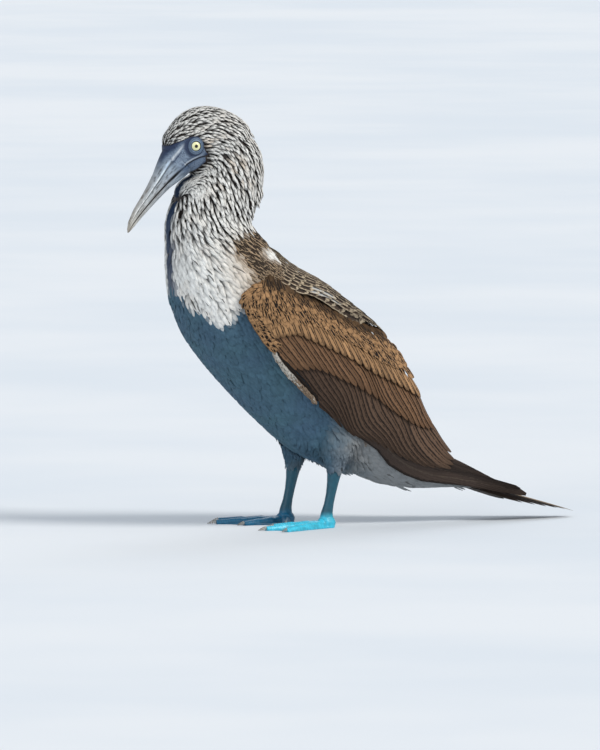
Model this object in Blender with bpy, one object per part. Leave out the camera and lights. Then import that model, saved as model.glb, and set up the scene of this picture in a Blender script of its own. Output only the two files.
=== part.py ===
"""A life-size adult male blue-footed booby, standing with its head drawn back, as a museum shows it.

Metres, +Z up. The bird faces -Y, +X is its left side, and its soles rest on z = 0.
Heights and lengths come from a culmen of about 100 mm, a folded wing of about 420 mm and a tail of about
225 mm. The trunk is one loft along the spine, parted into neck and torso. The torso, wings and mantle are
laid out in the body frame: t runs down the back from the shoulders to the rump, n runs from belly to back.
Flight feathers, larger coverts, scapulars and tail feathers are thin vanes in tiers. The vanes of one tier
lie like a louvre, each tilted so that the next one passes over it with a gap, and join only at their roots.
"""

import math

import bmesh
import bpy
from mathutils import Matrix, Vector

GAP = 0.0003
CUT_CLEARANCE = 0.0004

BODY_PITCH = math.radians(45)
BODY_ORIGIN_Z = 0.015

# From here the rump and the folded feathers curve up, so that the tail can lie along the floor.
BEND_START = 0.010
BEND_LENGTH = 0.080
BEND_ANGLE = math.radians(29)
BEND_N = 0.120

HEAD_CENTRE = Vector((0, -0.0993, 0.4214))
HEAD_TURN = math.radians(8)
SEAM_CENTRE = Vector((0, -0.095, 0.381))
SEAM_TILT = math.radians(6)
BILL_BASE = (0.0488, -0.0177)
BILL_PITCH = math.radians(50)

EYE_PLACE = (0.0385, 0.0007)
EYE_OUT = 0.0230
EYE_FORWARD = math.radians(16)
EYE_RADIUS = 0.0078
EYE_DEPTH = 0.0048
LID_RADIUS = 0.0068
LID_THICKNESS = 0.0015
MOUTH_CORNER = (0.0217, -0.0110)

TAIL_START = 0.120
TAIL_N = 0.119

ANKLE_HEIGHT = 0.064
FOOT_HEIGHT = 0.0105
LEG_SIDE = 0.038
LEFT_FOOT_Y = 0.016
RIGHT_FOOT_Y = -0.002
LEG_LEAN = 0.009
TOE_OUT = math.radians(9)

# Each trunk station: y, z, tilt of the section in degrees, half depth, half width.
NECK_STATIONS = [
    (-0.1026, 0.4252, 38, 0.0300, 0.024),
    (-0.0873, 0.4094, 26, 0.0380, 0.031),
    (-0.0864, 0.3897, 4, 0.0430, 0.036),
    (-0.0950, 0.3703, -11, 0.0470, 0.039),
    (-0.1035, 0.3499, -8, 0.0475, 0.041),
    (-0.1061, 0.3359, 0, 0.0497, 0.044),
    (-0.1036, 0.3216, 7, 0.0523, 0.047),
    (-0.1010, 0.3025, 18, 0.0570, 0.052),
]
TORSO_STATIONS = [
    (-0.1010, 0.3025, 18, 0.0570, 0.052),
    (-0.0968, 0.2837, 29, 0.0625, 0.057),
    (-0.0915, 0.2688, 38, 0.0655, 0.060),
    (-0.0832, 0.2542, 45, 0.0685, 0.062),
    (-0.0577, 0.2255, 45, 0.0710, 0.0630),
    (-0.0285, 0.1977, 45, 0.0735, 0.0625),
    (0.0027, 0.1665, 45, 0.0730, 0.0600),
    (0.0346, 0.1302, 45, 0.0660, 0.0530),
    (0.0619, 0.1051, 46, 0.0545, 0.0450),
    (0.0892, 0.0871, 46, 0.0430, 0.0380),
    (0.1117, 0.0687, 56, 0.0320, 0.0320),
    (0.1397, 0.0556, 67, 0.0210, 0.0280),
    (0.1642, 0.0488, 74, 0.0135, 0.0255),
    (0.1887, 0.0434, 74, 0.0080, 0.0235),
]

# Each head station in the head frame: forward, up, tilt in degrees, half height, half width.
HEAD_STATIONS = [
    (0.0503, -0.0164, 40, 0.0195, 0.0168),
    (0.0447, -0.0085, 53, 0.0295, 0.0202),
    (0.0310, 0.0017, 64, 0.0365, 0.0242),
    (0.0135, 0.0060, 73, 0.0397, 0.0275),
    (-0.0030, 0.0047, 83, 0.0390, 0.0288),
    (-0.0200, 0.0030, 90, 0.0330, 0.0270),
    (-0.0350, 0.0020, 94, 0.0220, 0.0200),
    (-0.0430, 0.0020, 95, 0.0080, 0.0070),
]

# Each bill station: distance from the base, culmen, mouth line and lower edge across the axis, half width.
BILL_STATIONS = [
    (0.0000, 0.0215, -0.0040, -0.0170, 0.0170),
    (0.0120, 0.0190, -0.0020, -0.0145, 0.0150),
    (0.0280, 0.0145, 0.0000, -0.0095, 0.0120),
    (0.0500, 0.0110, 0.0015, -0.0060, 0.0090),
    (0.0730, 0.0090, 0.0023, -0.0036, 0.0065),
    (0.0880, 0.0056, 0.0016, -0.0026, 0.0042),
    (0.0950, 0.0018, 0.0000, -0.0020, 0.0022),
    (0.0975, -0.0004, -0.0009, -0.0015, 0.0009),
]
# Half outline of each bill half: share of the half width, share of the way from the mouth line to the edge.
UPPER_BILL_OUTLINE = [
    (1.00, 0.00),
    (0.97, 0.22),
    (0.86, 0.44),
    (0.68, 0.56),
    (0.66, 0.68),
    (0.52, 0.86),
    (0.26, 0.97),
    (0.00, 1.00),
]
LOWER_BILL_OUTLINE = [(0.97, 0.00), (0.93, 0.35), (0.72, 0.72), (0.38, 0.94), (0.00, 1.00)]

# Each wing station: t, lower edge n, upper edge n, half widths at the lower edge, middle and upper edge,
# and how deep the folded arm reaches under its outer face.
WING_STATIONS = [
    (-0.242, 0.100, 0.124, 0.0620, 0.0650, 0.0610, 0.006),
    (-0.232, 0.097, 0.137, 0.0645, 0.0690, 0.0600, 0.012),
    (-0.212, 0.086, 0.148, 0.0670, 0.0725, 0.0570, 0.018),
    (-0.189, 0.078, 0.156, 0.0690, 0.0755, 0.0530, 0.019),
    (-0.160, 0.074, 0.168, 0.0695, 0.0765, 0.0430, 0.018),
    (-0.131, 0.072, 0.180, 0.0680, 0.0760, 0.0330, 0.016),
    (-0.100, 0.073, 0.194, 0.0650, 0.0745, 0.0220, 0.014),
    (-0.072, 0.078, 0.206, 0.0610, 0.0715, 0.0150, 0.012),
    (-0.035, 0.084, 0.2045, 0.0560, 0.0660, 0.0130, 0.010),
    (0.000, 0.104, 0.196, 0.0500, 0.0590, 0.0120, 0.009),
    (0.030, 0.113, 0.186, 0.0450, 0.0520, 0.0160, 0.009),
    (0.060, 0.119, 0.174, 0.0400, 0.0460, 0.0230, 0.009),
    (0.090, 0.123, 0.156, 0.0360, 0.0400, 0.0290, 0.009),
    (0.120, 0.125, 0.146, 0.0315, 0.0350, 0.0300, 0.009),
    (0.155, 0.126, 0.138, 0.0270, 0.0300, 0.0265, 0.009),
    (0.195, 0.126, 0.132, 0.0220, 0.0245, 0.0220, 0.009),
]
WING_WIDEST = 0.3
WING_MIDDLE_GAP = 0.0006
WING_PAST_EDGE = 0.12
# How far apart the points lie that give the slope of the wing's and of the mantle's outer face.
WING_SLOPE_STEP = 0.002
MANTLE_SLOPE_STEP = 0.001

# The tips of each tier of wing feathers, from the front of the wing to its rear, as t and n.
MEDIAN_TIPS = [
    (-0.189, 0.0765),
    (-0.179, 0.100),
    (-0.164, 0.120),
    (-0.130, 0.134),
    (-0.094, 0.148),
    (-0.062, 0.156),
    (-0.034, 0.168),
    (0.000, 0.180),
    (0.018, 0.187),
]
GREATER_TIPS = [
    (-0.140, 0.078),
    (-0.130, 0.096),
    (-0.120, 0.109),
    (-0.098, 0.119),
    (-0.068, 0.130),
    (-0.042, 0.138),
    (-0.015, 0.143),
    (0.015, 0.151),
    (0.044, 0.161),
    (0.062, 0.170),
]
SECONDARY_TIPS = [
    (-0.080, 0.076),
    (-0.050, 0.080),
    (-0.028, 0.088),
    (0.000, 0.104),
    (0.036, 0.114),
    (0.068, 0.120),
    (0.094, 0.128),
    (0.096, 0.139),
    (0.090, 0.151),
    (0.076, 0.164),
]
# The angle of the wing's feathers below the t axis, by place along its arm from the front to the rear.
FEATHER_ANGLES = (math.radians(29), math.radians(17))
FEATHER_RUN = math.radians(22)
# The arm's terraces: distance behind the tips of the median coverts and depth under the wing's outer face.
ARM_TERRACES = [
    (-0.0250, 0.0),
    (-0.0215, 0.0030),
    (-0.0125, 0.0032),
    (-0.0095, 0.0059),
    (0.0190, 0.0061),
]
ARM_ROWS = 12
ARM_FLOOR = 0.0052
# The arm's upper border: the share of the wing's height that it may reach, where the search for it in front
# of the tips of the median coverts starts and ends, the step of the search, and how far it stays from the
# wing's front.
ARM_TOP = 0.97
ARM_BORDER_TOP = 0.965
ARM_BORDER_SEARCH = (-0.026, -0.090, 0.002)
ARM_FRONT_MARGIN = 0.003
# How deep the border lies, and where the arm reaches the outer face: a share of the way to it, less a step.
ARM_BORDER_DEPTH = 0.0030
ARM_BORDER_SHARE = 0.9
ARM_BORDER_STEP = 0.0022
# Each tier: its tips, the count of its vanes, how far its roots lie behind the tips of the median coverts, and
# the depths of its vanes by their distance across those tips.
TIERS = [
    (MEDIAN_TIPS, 13, -0.0290, [(-0.025, 0.0018), (-0.009, 0.0001), (0.0, 0.0)]),
    (GREATER_TIPS, 12, -0.0175, [(-0.012, 0.0040), (-0.003, 0.0025), (0.04, 0.0016)]),
    (SECONDARY_TIPS, 13, 0.0090, [(0.013, 0.0066), (0.022, 0.0046), (0.070, 0.0032)]),
]
TIER_START = 0.04
TIER_END = 0.95
PRIMARY_COUNT = 5
PRIMARY_ROOTS = (0.30, 0.45)
PRIMARY_BEHIND = 0.012
PRIMARY_MIDDLES = ((-0.030, 0.094), (-0.030, 0.112))
PRIMARY_TIPS = ((0.196, 0.128), (0.126, 0.140))
PRIMARY_DEPTHS = [(0.010, 0.0088), (0.022, 0.0070), (0.070, 0.0056), (0.15, 0.0036)]
VANE_THICKNESS = 0.0005
VANE_PITCH = 0.00095
VANE_OVERLAP = 1.35
VANE_LEAST_STEP = 0.0016
# A vane's share of its full width and of its full thickness, by share of its length.
VANE_WIDTHS = [(0.0, 0.65), (0.3, 1.0), (0.75, 1.0), (0.92, 0.74), (1.0, 0.22)]
VANE_THICKNESSES = [(0.0, 1.0), (0.75, 1.0), (1.0, 0.6)]
VANE_SPACING = 0.030
VANE_TIP_PARTS = [0.92, 1.0]
MANTLE_PARTS = [0.0, 0.25, 0.5, 0.75, 0.92, 1.0]

# The short solid base of the tail: t, half width, half height.
TAIL_BASE = [
    (0.1203, 0.0230, 0.0062),
    (0.135, 0.0225, 0.0058),
    (0.148, 0.0205, 0.0050),
    (0.158, 0.0170, 0.0036),
]
# Each pair of tail feathers, from the middle out: x at the root, and t and x at the tip.
TAIL_FEATHERS = [
    (0.0072, 0.262, 0.0040),
    (0.0090, 0.249, 0.0090),
    (0.0108, 0.236, 0.0140),
    (0.0125, 0.222, 0.0185),
    (0.0140, 0.207, 0.0225),
    (0.0152, 0.190, 0.0262),
]
TAIL_ROOT = 0.130
TAIL_TOP = 0.0030
TAIL_PITCH = 0.00105
TAIL_ROOF = 3.0
TAIL_HALF_WIDTH = 0.0068
TAIL_WIDTHS = [(0.0, 0.8), (0.45, 1.0), (0.78, 0.92), (0.93, 0.55), (1.0, 0.12)]

# Each mantle station: t, n over the spine, half width, n at the side edges, depth.
MANTLE_STATIONS = [
    (-0.238, 0.1815, 0.030, 0.1640, 0.012),
    (-0.225, 0.1840, 0.042, 0.1560, 0.018),
    (-0.200, 0.1870, 0.050, 0.1500, 0.022),
    (-0.163, 0.1970, 0.050, 0.1620, 0.024),
    (-0.127, 0.2040, 0.044, 0.1780, 0.024),
    (-0.095, 0.2090, 0.036, 0.1920, 0.020),
    (-0.077, 0.2120, 0.028, 0.2020, 0.013),
    (-0.058, 0.2135, 0.018, 0.2085, 0.005),
]
# How deep the mantle's base lies under its feathers, by t, and the last t of that base.
MANTLE_TERRACES = [
    (-0.238, 0.0),
    (-0.225, 0.0),
    (-0.200, 0.0),
    (-0.180, 0.0),
    (-0.176, 0.0030),
    (-0.146, 0.0034),
    (-0.142, 0.0062),
    (-0.112, 0.0064),
]
MANTLE_UNDER_WIDTH = 0.9
# Each tier of shoulder feathers: places across at the roots and tips as shares of the half width, t at the
# roots, t at the middle and outermost tips, and depths by t.
MANTLE_TIERS = [
    (9, 0.80, -0.184, (-0.128, -0.146), [(-0.182, 0.0012), (-0.168, 0.0003), (-0.13, 0.0)]),
    (7, 0.74, -0.150, (-0.062, -0.100), [(-0.148, 0.0042), (-0.128, 0.0024), (-0.06, 0.0008)]),
]

COLOURS = {
    "head": (0.55, 0.50, 0.44, 0.70),
    "bill": (0.36, 0.42, 0.48, 0.40),
    "eye": (0.85, 0.82, 0.45, 0.10),
    "neck": (0.60, 0.54, 0.47, 0.70),
    "torso": (0.85, 0.85, 0.84, 0.75),
    "mantle": (0.38, 0.28, 0.20, 0.75),
    "wing": (0.30, 0.20, 0.13, 0.70),
    "tail": (0.20, 0.15, 0.12, 0.65),
    "thigh": (0.86, 0.86, 0.85, 0.80),
    "leg": (0.03, 0.35, 0.50, 0.45),
    "claw": (0.55, 0.53, 0.50, 0.35),
}


def clear_scene():
    """Removes the startup objects."""
    for found in list(bpy.data.objects):
        bpy.data.objects.remove(found, do_unlink=True)


def smooth_rows(rows, place):
    """The row at a fractional place in a table, by Catmull-Rom between its rows."""
    last = len(rows) - 1
    low = min(int(place), last - 1)
    share = place - low
    before, start, end, after = (
        rows[max(low - 1, 0)],
        rows[low],
        rows[low + 1],
        rows[min(low + 2, last)],
    )
    found = []
    for a, b, c, d in zip(before, start, end, after):
        slope_in, slope_out = (c - a) / 2, (d - b) / 2
        s2, s3 = share * share, share**3
        found.append(
            (2 * s3 - 3 * s2 + 1) * b
            + (s3 - 2 * s2 + share) * slope_in
            + (3 * s2 - 2 * s3) * c
            + (s3 - s2) * slope_out
        )
    return found


def place_of(rows, value):
    """The fractional place at which the first column of a table reaches a value."""
    for low in range(len(rows) - 1):
        if value <= rows[low + 1][0]:
            return low + (value - rows[low][0]) / (rows[low + 1][0] - rows[low][0])
    return len(rows) - 1


def row_at(rows, value):
    """The interpolated row of a table whose first column is the value."""
    return smooth_rows(rows, place_of(rows, value))


def body_point(t, n, x):
    """A point of the body frame in the world, curved up behind the bend."""
    run, drop = math.cos(BODY_PITCH), math.sin(BODY_PITCH)
    straight = min(t, BEND_START)
    y = straight * run + BEND_N * drop
    z = BODY_ORIGIN_Z - straight * drop + BEND_N * run
    curved = min(max(t - BEND_START, 0), BEND_LENGTH)
    pitch = BODY_PITCH - BEND_ANGLE * curved / BEND_LENGTH
    radius = BEND_LENGTH / BEND_ANGLE
    y += radius * (drop - math.sin(pitch))
    z -= radius * (math.cos(pitch) - run)
    rest = max(t - BEND_START - BEND_LENGTH, 0)
    y += rest * math.cos(pitch) + (n - BEND_N) * math.sin(pitch)
    z += (n - BEND_N) * math.cos(pitch) - rest * math.sin(pitch)
    return Vector((x, y, z))


def head_matrix():
    """From the head frame (x left, y back, z up, origin between the eyes' rear) to the world."""
    return Matrix.Translation(HEAD_CENTRE) @ Matrix.Rotation(HEAD_TURN, 4, "Z")


def material(name):
    """The Principled material of a part of the body."""
    found = bpy.data.materials.get(name)
    if found is None:
        red, green, blue, roughness = COLOURS[name]
        found = bpy.data.materials.new(name)
        found.use_nodes = True
        shader = found.node_tree.nodes["Principled BSDF"]
        shader.inputs["Base Color"].default_value = (red, green, blue, 1)
        shader.inputs["Roughness"].default_value = roughness
        shader.inputs["Metallic"].default_value = 0
    return found


def object_of(name, mesh, finish):
    """A named object that holds a mesh, in the bird's collection."""
    made = bpy.data.objects.new(name, mesh)
    made.data.materials.append(material(finish))
    BIRD.objects.link(made)
    return made


def mesh_of(name, points, faces):
    """A mesh with its faces turned outwards."""
    made = bpy.data.meshes.new(name)
    made.from_pydata([tuple(p) for p in points], [], faces)
    shape = bmesh.new()
    shape.from_mesh(made)
    bmesh.ops.recalc_face_normals(shape, faces=shape.faces)
    if shape.calc_volume(signed=True) < 0:
        bmesh.ops.reverse_faces(shape, faces=shape.faces)
    shape.to_mesh(made)
    shape.free()
    return made


def loft(name, rings, finish):
    """A closed solid through rings of equally many points, with a flat cap at each end."""
    count = len(rings[0])
    points = [point for ring in rings for point in ring]
    faces = [list(range(count)), list(range(len(points) - count, len(points)))]
    for row in range(len(rings) - 1):
        for column in range(count):
            after = (column + 1) % count
            a, b = row * count + column, row * count + after
            faces.append([a, b, b + count, a + count])
    made = object_of(name, mesh_of(name, points, faces), finish)
    made.data.shade_smooth()
    made.data.set_sharp_from_angle(angle=math.radians(50))
    return made


def oval(centre, up, side, half_up, half_side, count, power=2.15):
    """The points of a superellipse about a centre, in the plane of two unit vectors."""
    ring = []
    for k in range(count):
        angle = 2 * math.pi * k / count
        sine, cosine = math.sin(angle), math.cos(angle)
        along = math.copysign(abs(sine) ** (2 / power), sine) * half_up
        across = math.copysign(abs(cosine) ** (2 / power), cosine) * half_side
        ring.append(centre + up * along + side * across)
    return ring


def cut(target, cutters):
    """Takes the cutters away from the target and removes them."""
    for cutter in cutters:
        change = target.modifiers.new("cut", "BOOLEAN")
        change.operation = "DIFFERENCE"
        change.object = cutter
        change.solver = "MANIFOLD"
        apply_modifiers(target)
        bpy.data.objects.remove(cutter, do_unlink=True)
    keep_largest(target)


def join(target, pieces):
    """Joins closed pieces to the target by one union and removes them."""
    group = bpy.data.collections.new("pieces")
    bpy.context.scene.collection.children.link(group)
    for piece in pieces:
        BIRD.objects.unlink(piece)
        group.objects.link(piece)
    change = target.modifiers.new("join", "BOOLEAN")
    change.operation = "UNION"
    change.operand_type = "COLLECTION"
    change.collection = group
    change.solver = "MANIFOLD"
    apply_modifiers(target)
    for piece in pieces:
        bpy.data.objects.remove(piece, do_unlink=True)
    bpy.data.collections.remove(group)
    keep_largest(target)


def apply_modifiers(target):
    """Replaces an object's mesh by the one that its modifiers make."""
    bpy.context.view_layer.update()
    graph = bpy.context.evaluated_depsgraph_get()
    made = bpy.data.meshes.new_from_object(target.evaluated_get(graph))
    target.modifiers.clear()
    target.data = made


def keep_largest(target):
    """Keeps the largest closed surface of an object."""
    shape = bmesh.new()
    shape.from_mesh(target.data)
    unseen, shells = set(shape.faces), []
    while unseen:
        stack, shell = [unseen.pop()], []
        while stack:
            face = stack.pop()
            shell.append(face)
            near = {f for edge in face.edges for f in edge.link_faces} & unseen
            unseen -= near
            stack.extend(near)
        shells.append(shell)
    shells.sort(key=lambda shell: sum(face.calc_area() for face in shell))
    loose = [face for shell in shells[:-1] for face in shell]
    if loose:
        bmesh.ops.delete(shape, geom=loose, context="FACES")
    shape.to_mesh(target.data)
    shape.free()
    target.data.update()


def swollen(source, by=CUT_CLEARANCE):
    """A cutter: a copy of an object grown along its normals."""
    copied = source.data.copy()
    shape = bmesh.new()
    shape.from_mesh(copied)
    shape.normal_update()
    for vertex in shape.verts:
        vertex.co += vertex.normal * by
    shape.to_mesh(copied)
    shape.free()
    grown = bpy.data.objects.new("cutter", copied)
    grown.hide_render = True
    grown.display_type = "WIRE"
    BIRD.objects.link(grown)
    grown.matrix_world = source.matrix_world
    return grown


def trunk_ring(station, count):
    """The section of the trunk at a station."""
    y, z, tilt, half_depth, half_width = station
    angle = math.radians(tilt)
    up = Vector((0, math.cos(angle), math.sin(angle)))
    return oval(Vector((0, y, z)), up, Vector((1, 0, 0)), half_depth, half_width, count)


def trunk(name, stations, finish, steps, count, start_gap=0.0):
    """A length of neck or torso. start_gap holds its first section off its neighbour."""
    rings = []
    for k in range((len(stations) - 1) * steps + 1):
        rings.append(trunk_ring(smooth_rows(stations, k / steps), count))
    if start_gap:
        centre = sum(rings[1], Vector()) / count - sum(rings[0], Vector()) / count
        rings[0] = [point + centre.normalized() * start_gap for point in rings[0]]
    return loft(name, rings, finish)


def head_point(forward, up, side=0.0):
    """A point of the head frame in the world, forward and up from the head's centre."""
    return head_matrix() @ Vector((side, -forward, up))


def head_direction(forward, up, side=0.0):
    """A direction of the head frame in the world."""
    return (head_matrix().to_3x3() @ Vector((side, -forward, up))).normalized()


def make_head():
    """The head, with a ring of bare lid round each eye and a groove for the corner of the mouth."""
    steps, count = 2, 24
    rings = []
    for k in range((len(HEAD_STATIONS) - 1) * steps + 1):
        forward, up, tilt, half_height, half_width = smooth_rows(HEAD_STATIONS, k / steps)
        angle = math.radians(tilt)
        rise = head_direction(math.cos(angle), math.sin(angle))
        side = head_direction(0, 0, 1)
        rings.append(oval(head_point(forward, up), rise, side, half_height, half_width, count))
    return loft("head", rings, "head")


def half_space(height, above):
    """A cutter of everything above or below the seam between head and neck, at a height off the seam."""
    reach = 0.3
    shape = bmesh.new()
    bmesh.ops.create_cube(shape, size=2 * reach)
    middle = Vector((0, 0, height + (reach if above else -reach)))
    turn = Matrix.Translation(SEAM_CENTRE) @ Matrix.Rotation(SEAM_TILT, 4, "X")
    shape.transform(turn @ Matrix.Translation(middle))
    made = bpy.data.meshes.new("cutter")
    shape.to_mesh(made)
    shape.free()
    return object_of("cutter", made, "head")


def copy_of(source, name):
    """A copy of an object under another name."""
    copied = object_of(name, source.data.copy(), source.data.materials[0].name)
    copied.data.materials.pop(index=1)
    return copied


def split_head(head, neck):
    """Parts the joined head and neck at the seam under the jaw."""
    whole = copy_of(neck, "whole")
    join(whole, [copy_of(head, "upper")])
    for target, above, finish in ((head, False, "head"), (neck, True, "neck")):
        target.data = whole.data.copy()
        target.data.materials.clear()
        target.data.materials.append(material(finish))
        cut(target, [half_space(-GAP / 2 if above else GAP / 2, above)])
    bpy.data.objects.remove(whole, do_unlink=True)


def eye_matrix(side):
    """From an eye's frame, with +Z out of the head through the pupil, to the world."""
    place = Matrix.Translation((side * EYE_OUT, -EYE_PLACE[0], EYE_PLACE[1]))
    lean = Matrix.Rotation(-side * EYE_FORWARD, 4, "Z")
    return head_matrix() @ place @ lean @ Matrix.Rotation(side * math.pi / 2, 4, "Y")


def ball(name, side, radius, finish, segments=16, rings=8):
    """A sphere about an eye's centre, with its poles in and out."""
    shape = bmesh.new()
    bmesh.ops.create_uvsphere(shape, u_segments=segments, v_segments=rings, radius=radius)
    shape.transform(eye_matrix(side) @ Matrix.Translation((0, 0, -EYE_DEPTH)))
    made = bpy.data.meshes.new(name)
    shape.to_mesh(made)
    shape.free()
    found = object_of(name, made, finish)
    found.data.shade_smooth()
    return found


def eyelid(side):
    """The ring of bare skin round an eye."""
    rows, columns = 16, 6
    points, faces = [], []
    for row in range(rows):
        around = 2 * math.pi * row / rows
        for column in range(columns):
            angle = 2 * math.pi * column / columns
            out = LID_RADIUS + LID_THICKNESS * math.cos(angle)
            height = LID_THICKNESS * math.sin(angle)
            point = Vector((out * math.cos(around), out * math.sin(around), height))
            points.append(eye_matrix(side) @ point)
            a = row * columns + column
            b = row * columns + (column + 1) % columns
            c = (row + 1) % rows * columns + (column + 1) % columns
            d = (row + 1) % rows * columns + column
            faces.append([a, b, c, d])
    return object_of("eyelid", mesh_of("eyelid", points, faces), "head")


def mouth_groove(side):
    """A thin blade that cuts the line of the mouth from the bill back to its corner below the eye."""
    depth_in, depth_out, half = 0.012, 0.032, 0.0004
    start = bill_place(-0.002, -0.0040)
    corner = MOUTH_CORNER
    middle = ((start[0] + corner[0]) / 2, (start[1] + corner[1]) / 2 + 0.0012)
    points = []
    for forward, up in (start, middle, corner):
        for rise in (-half, half):
            for out in (depth_in, depth_out):
                points.append(head_point(forward, up + rise, side * out))
    faces = [[0, 1, 3, 2], [8, 10, 11, 9]]
    for low in (0, 4):
        faces += [
            [low, low + 4, low + 5, low + 1],
            [low + 2, low + 3, low + 7, low + 6],
            [low, low + 2, low + 6, low + 4],
            [low + 1, low + 5, low + 7, low + 3],
        ]
    knife = object_of("cutter", mesh_of("cutter", points, faces), "head")
    knife.hide_render = True
    return knife


def bill_place(along, across):
    """Forward and up, in the head frame, of a place along the bill's axis and across it."""
    run, rise = math.cos(BILL_PITCH), math.sin(BILL_PITCH)
    return (
        BILL_BASE[0] + along * run + across * rise,
        BILL_BASE[1] - along * rise + across * run,
    )


def bill_half(name, outline, edge_column, shift):
    """One half of the bill, from the mouth line to its culmen or lower edge."""
    steps = 2
    rings = []
    for k in range((len(BILL_STATIONS) - 1) * steps + 1):
        row = smooth_rows(BILL_STATIONS, k / steps)
        along = row[0] + (GAP if k == 0 else 0)
        mouth, edge, half_width = row[2] + shift, row[edge_column], row[4]
        if abs(edge - mouth) < 0.0004:
            edge = mouth + math.copysign(0.0004, edge_column == 1 or -1)
        ring = []
        for side, part in [(1, outline), (-1, outline[-2::-1])]:
            for wide, high in part:
                forward, up = bill_place(along, mouth + (edge - mouth) * high)
                ring.append(head_point(forward, up, side * wide * half_width))
        rings.append(ring)
    return loft(name, rings, "bill")


def make_bill():
    """Upper and lower bill, closed, with the line of the mouth between them."""
    half_gap = GAP * 0.6
    bill_half("bill_upper", UPPER_BILL_OUTLINE, 1, half_gap)
    bill_half("bill_lower", LOWER_BILL_OUTLINE, 3, -half_gap)


def make_head_and_neck():
    """Head and neck, with lids and sockets in the head and an eyeball in each socket."""
    head = make_head()
    neck = trunk("neck", NECK_STATIONS, "neck", 2, 24)
    split_head(head, neck)
    join(head, [eyelid(1), eyelid(-1)])
    for name, side in (("eye_left", 1), ("eye_right", -1)):
        cut(head, [ball("cutter", side, EYE_RADIUS + CUT_CLEARANCE, "head")])
        cut(head, [mouth_groove(side)])
        ball(name, side, EYE_RADIUS, "eye")


def wing_face(t, n):
    """A point of the left wing's outer face, which runs on a little past the wing's edges."""
    _, low, high, x_low, x_mid, x_high, _ = row_at(WING_STATIONS, t)
    share = min(max((n - low) / (high - low), -WING_PAST_EDGE), 1 + WING_PAST_EDGE)
    if share < WING_WIDEST:
        x = x_mid - (x_mid - x_low) * (1 - share / WING_WIDEST) ** 2
    else:
        x = x_mid - (x_mid - x_high) * ((share - WING_WIDEST) / (1 - WING_WIDEST)) ** 2
    return body_point(t, n, x)


def under_face(t, n, depth):
    """A point at a depth under the left wing's outer face."""
    step = WING_SLOPE_STEP
    along = wing_face(t + step, n) - wing_face(t - step, n)
    across = wing_face(t, n + step) - wing_face(t, n - step)
    inward = along.cross(across).normalized()
    if inward.x > 0:
        inward = -inward
    point = wing_face(t, n) + inward * depth
    point.x = max(point.x, WING_MIDDLE_GAP)
    return point


def along_table(table, share):
    """The point at a share of a line of points, counted by the distance it covers across the feathers."""
    run = (math.cos(FEATHER_RUN), -math.sin(FEATHER_RUN))
    steps = [abs((b[0] - a[0]) * run[1] - (b[1] - a[1]) * run[0]) for a, b in zip(table, table[1:])]
    reach = min(max(share, 0), 1) * sum(steps)
    for k, step in enumerate(steps):
        if reach <= step or k == len(steps) - 1:
            part = reach / step
            return [a + (b - a) * part for a, b in zip(table[k], table[k + 1])]
        reach -= step


def beyond_tips(t, n):
    """How far a place on the wing lies behind the line of tips of the median coverts."""
    place, best = Vector((t, n)), None
    for k, (first, second) in enumerate(zip(MEDIAN_TIPS, MEDIAN_TIPS[1:])):
        first, second = Vector(first), Vector(second)
        line = second - first
        share = (place - first).dot(line) / line.length_squared
        low = 0 if k else -9
        high = 1 if k < len(MEDIAN_TIPS) - 2 else 9
        share = min(max(share, low), high)
        away = place - (first + line * share)
        signed = math.copysign(away.length, away.x * line.y - away.y * line.x)
        if best is None or abs(signed) < abs(best):
            best = signed
    return best


def arm_place(share, behind):
    """A place at a share along the wing's arm, at a distance behind the tips of the median coverts."""
    t, n = along_table(MEDIAN_TIPS, share)
    angle = FEATHER_ANGLES[0] + (FEATHER_ANGLES[1] - FEATHER_ANGLES[0]) * share
    t, n = t + math.cos(angle) * behind, n - math.sin(angle) * behind
    low, high = row_at(WING_STATIONS, t)[1:3]
    return t, min(n, low + (high - low) * ARM_TOP)


def arm_border(share):
    """How far in front of the tips of the median coverts the wing's edge lies."""
    behind, last, step = ARM_BORDER_SEARCH
    while behind > last:
        t, n = arm_place(share, behind)
        low, high = row_at(WING_STATIONS, t)[1:3]
        if t < WING_STATIONS[0][0] + ARM_FRONT_MARGIN or n > low + (high - low) * ARM_BORDER_TOP:
            break
        behind -= step
    return behind


def share_place(t, n):
    """A place on the wing as t and the share of the way from its lower to its upper edge."""
    low, high = row_at(WING_STATIONS, t)[1:3]
    return t, (n - low) / (high - low)


def wing_place(t, share):
    """The place as t and n of a share of the way from the wing's lower to its upper edge."""
    low, high = row_at(WING_STATIONS, t)[1:3]
    return Vector((t, low + (high - low) * share))


def feather_path(nodes):
    """A smooth path through two or three places, straight in shares of the wing's height."""
    shares = [share_place(*node) for node in nodes]

    def at(part):
        """The place at a share of the path."""
        if len(shares) == 2:
            (t0, s0), (t1, s1) = shares
            return wing_place(t0 + (t1 - t0) * part, s0 + (s1 - s0) * part)
        (t0, s0), (t1, s1), (t2, s2) = shares
        a, b, c = (1 - part) ** 2, 2 * part * (1 - part), part**2
        return wing_place(a * t0 + b * t1 + c * t2, a * s0 + b * s1 + c * s2)

    return at


def vane_stations(path, kinks):
    """The shares of a vane's length at which it has corners: even ones, and where its tier changes depth."""
    parts = [k / 40 for k in range(37)]
    distances = [beyond_tips(*path(part)) for part in parts]
    found = [0.0]
    for kink in kinks:
        for a, b, before, after in zip(parts, parts[1:], distances, distances[1:]):
            if before < kink <= after and a > found[-1] + 0.06 and b < 0.7:
                found.append(a + (b - a) * (kink - before) / (after - before))
    found += VANE_TIP_PARTS if found[-1] > 0.6 else [0.75] + VANE_TIP_PARTS
    length = (path(1) - path(0)).length
    stations = []
    for low, high in zip(found, found[1:]):
        count = max(math.ceil((high - low) * length / VANE_SPACING), 1)
        stations += [low + (high - low) * k / count for k in range(count)]
    return stations + [1.0]


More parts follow.
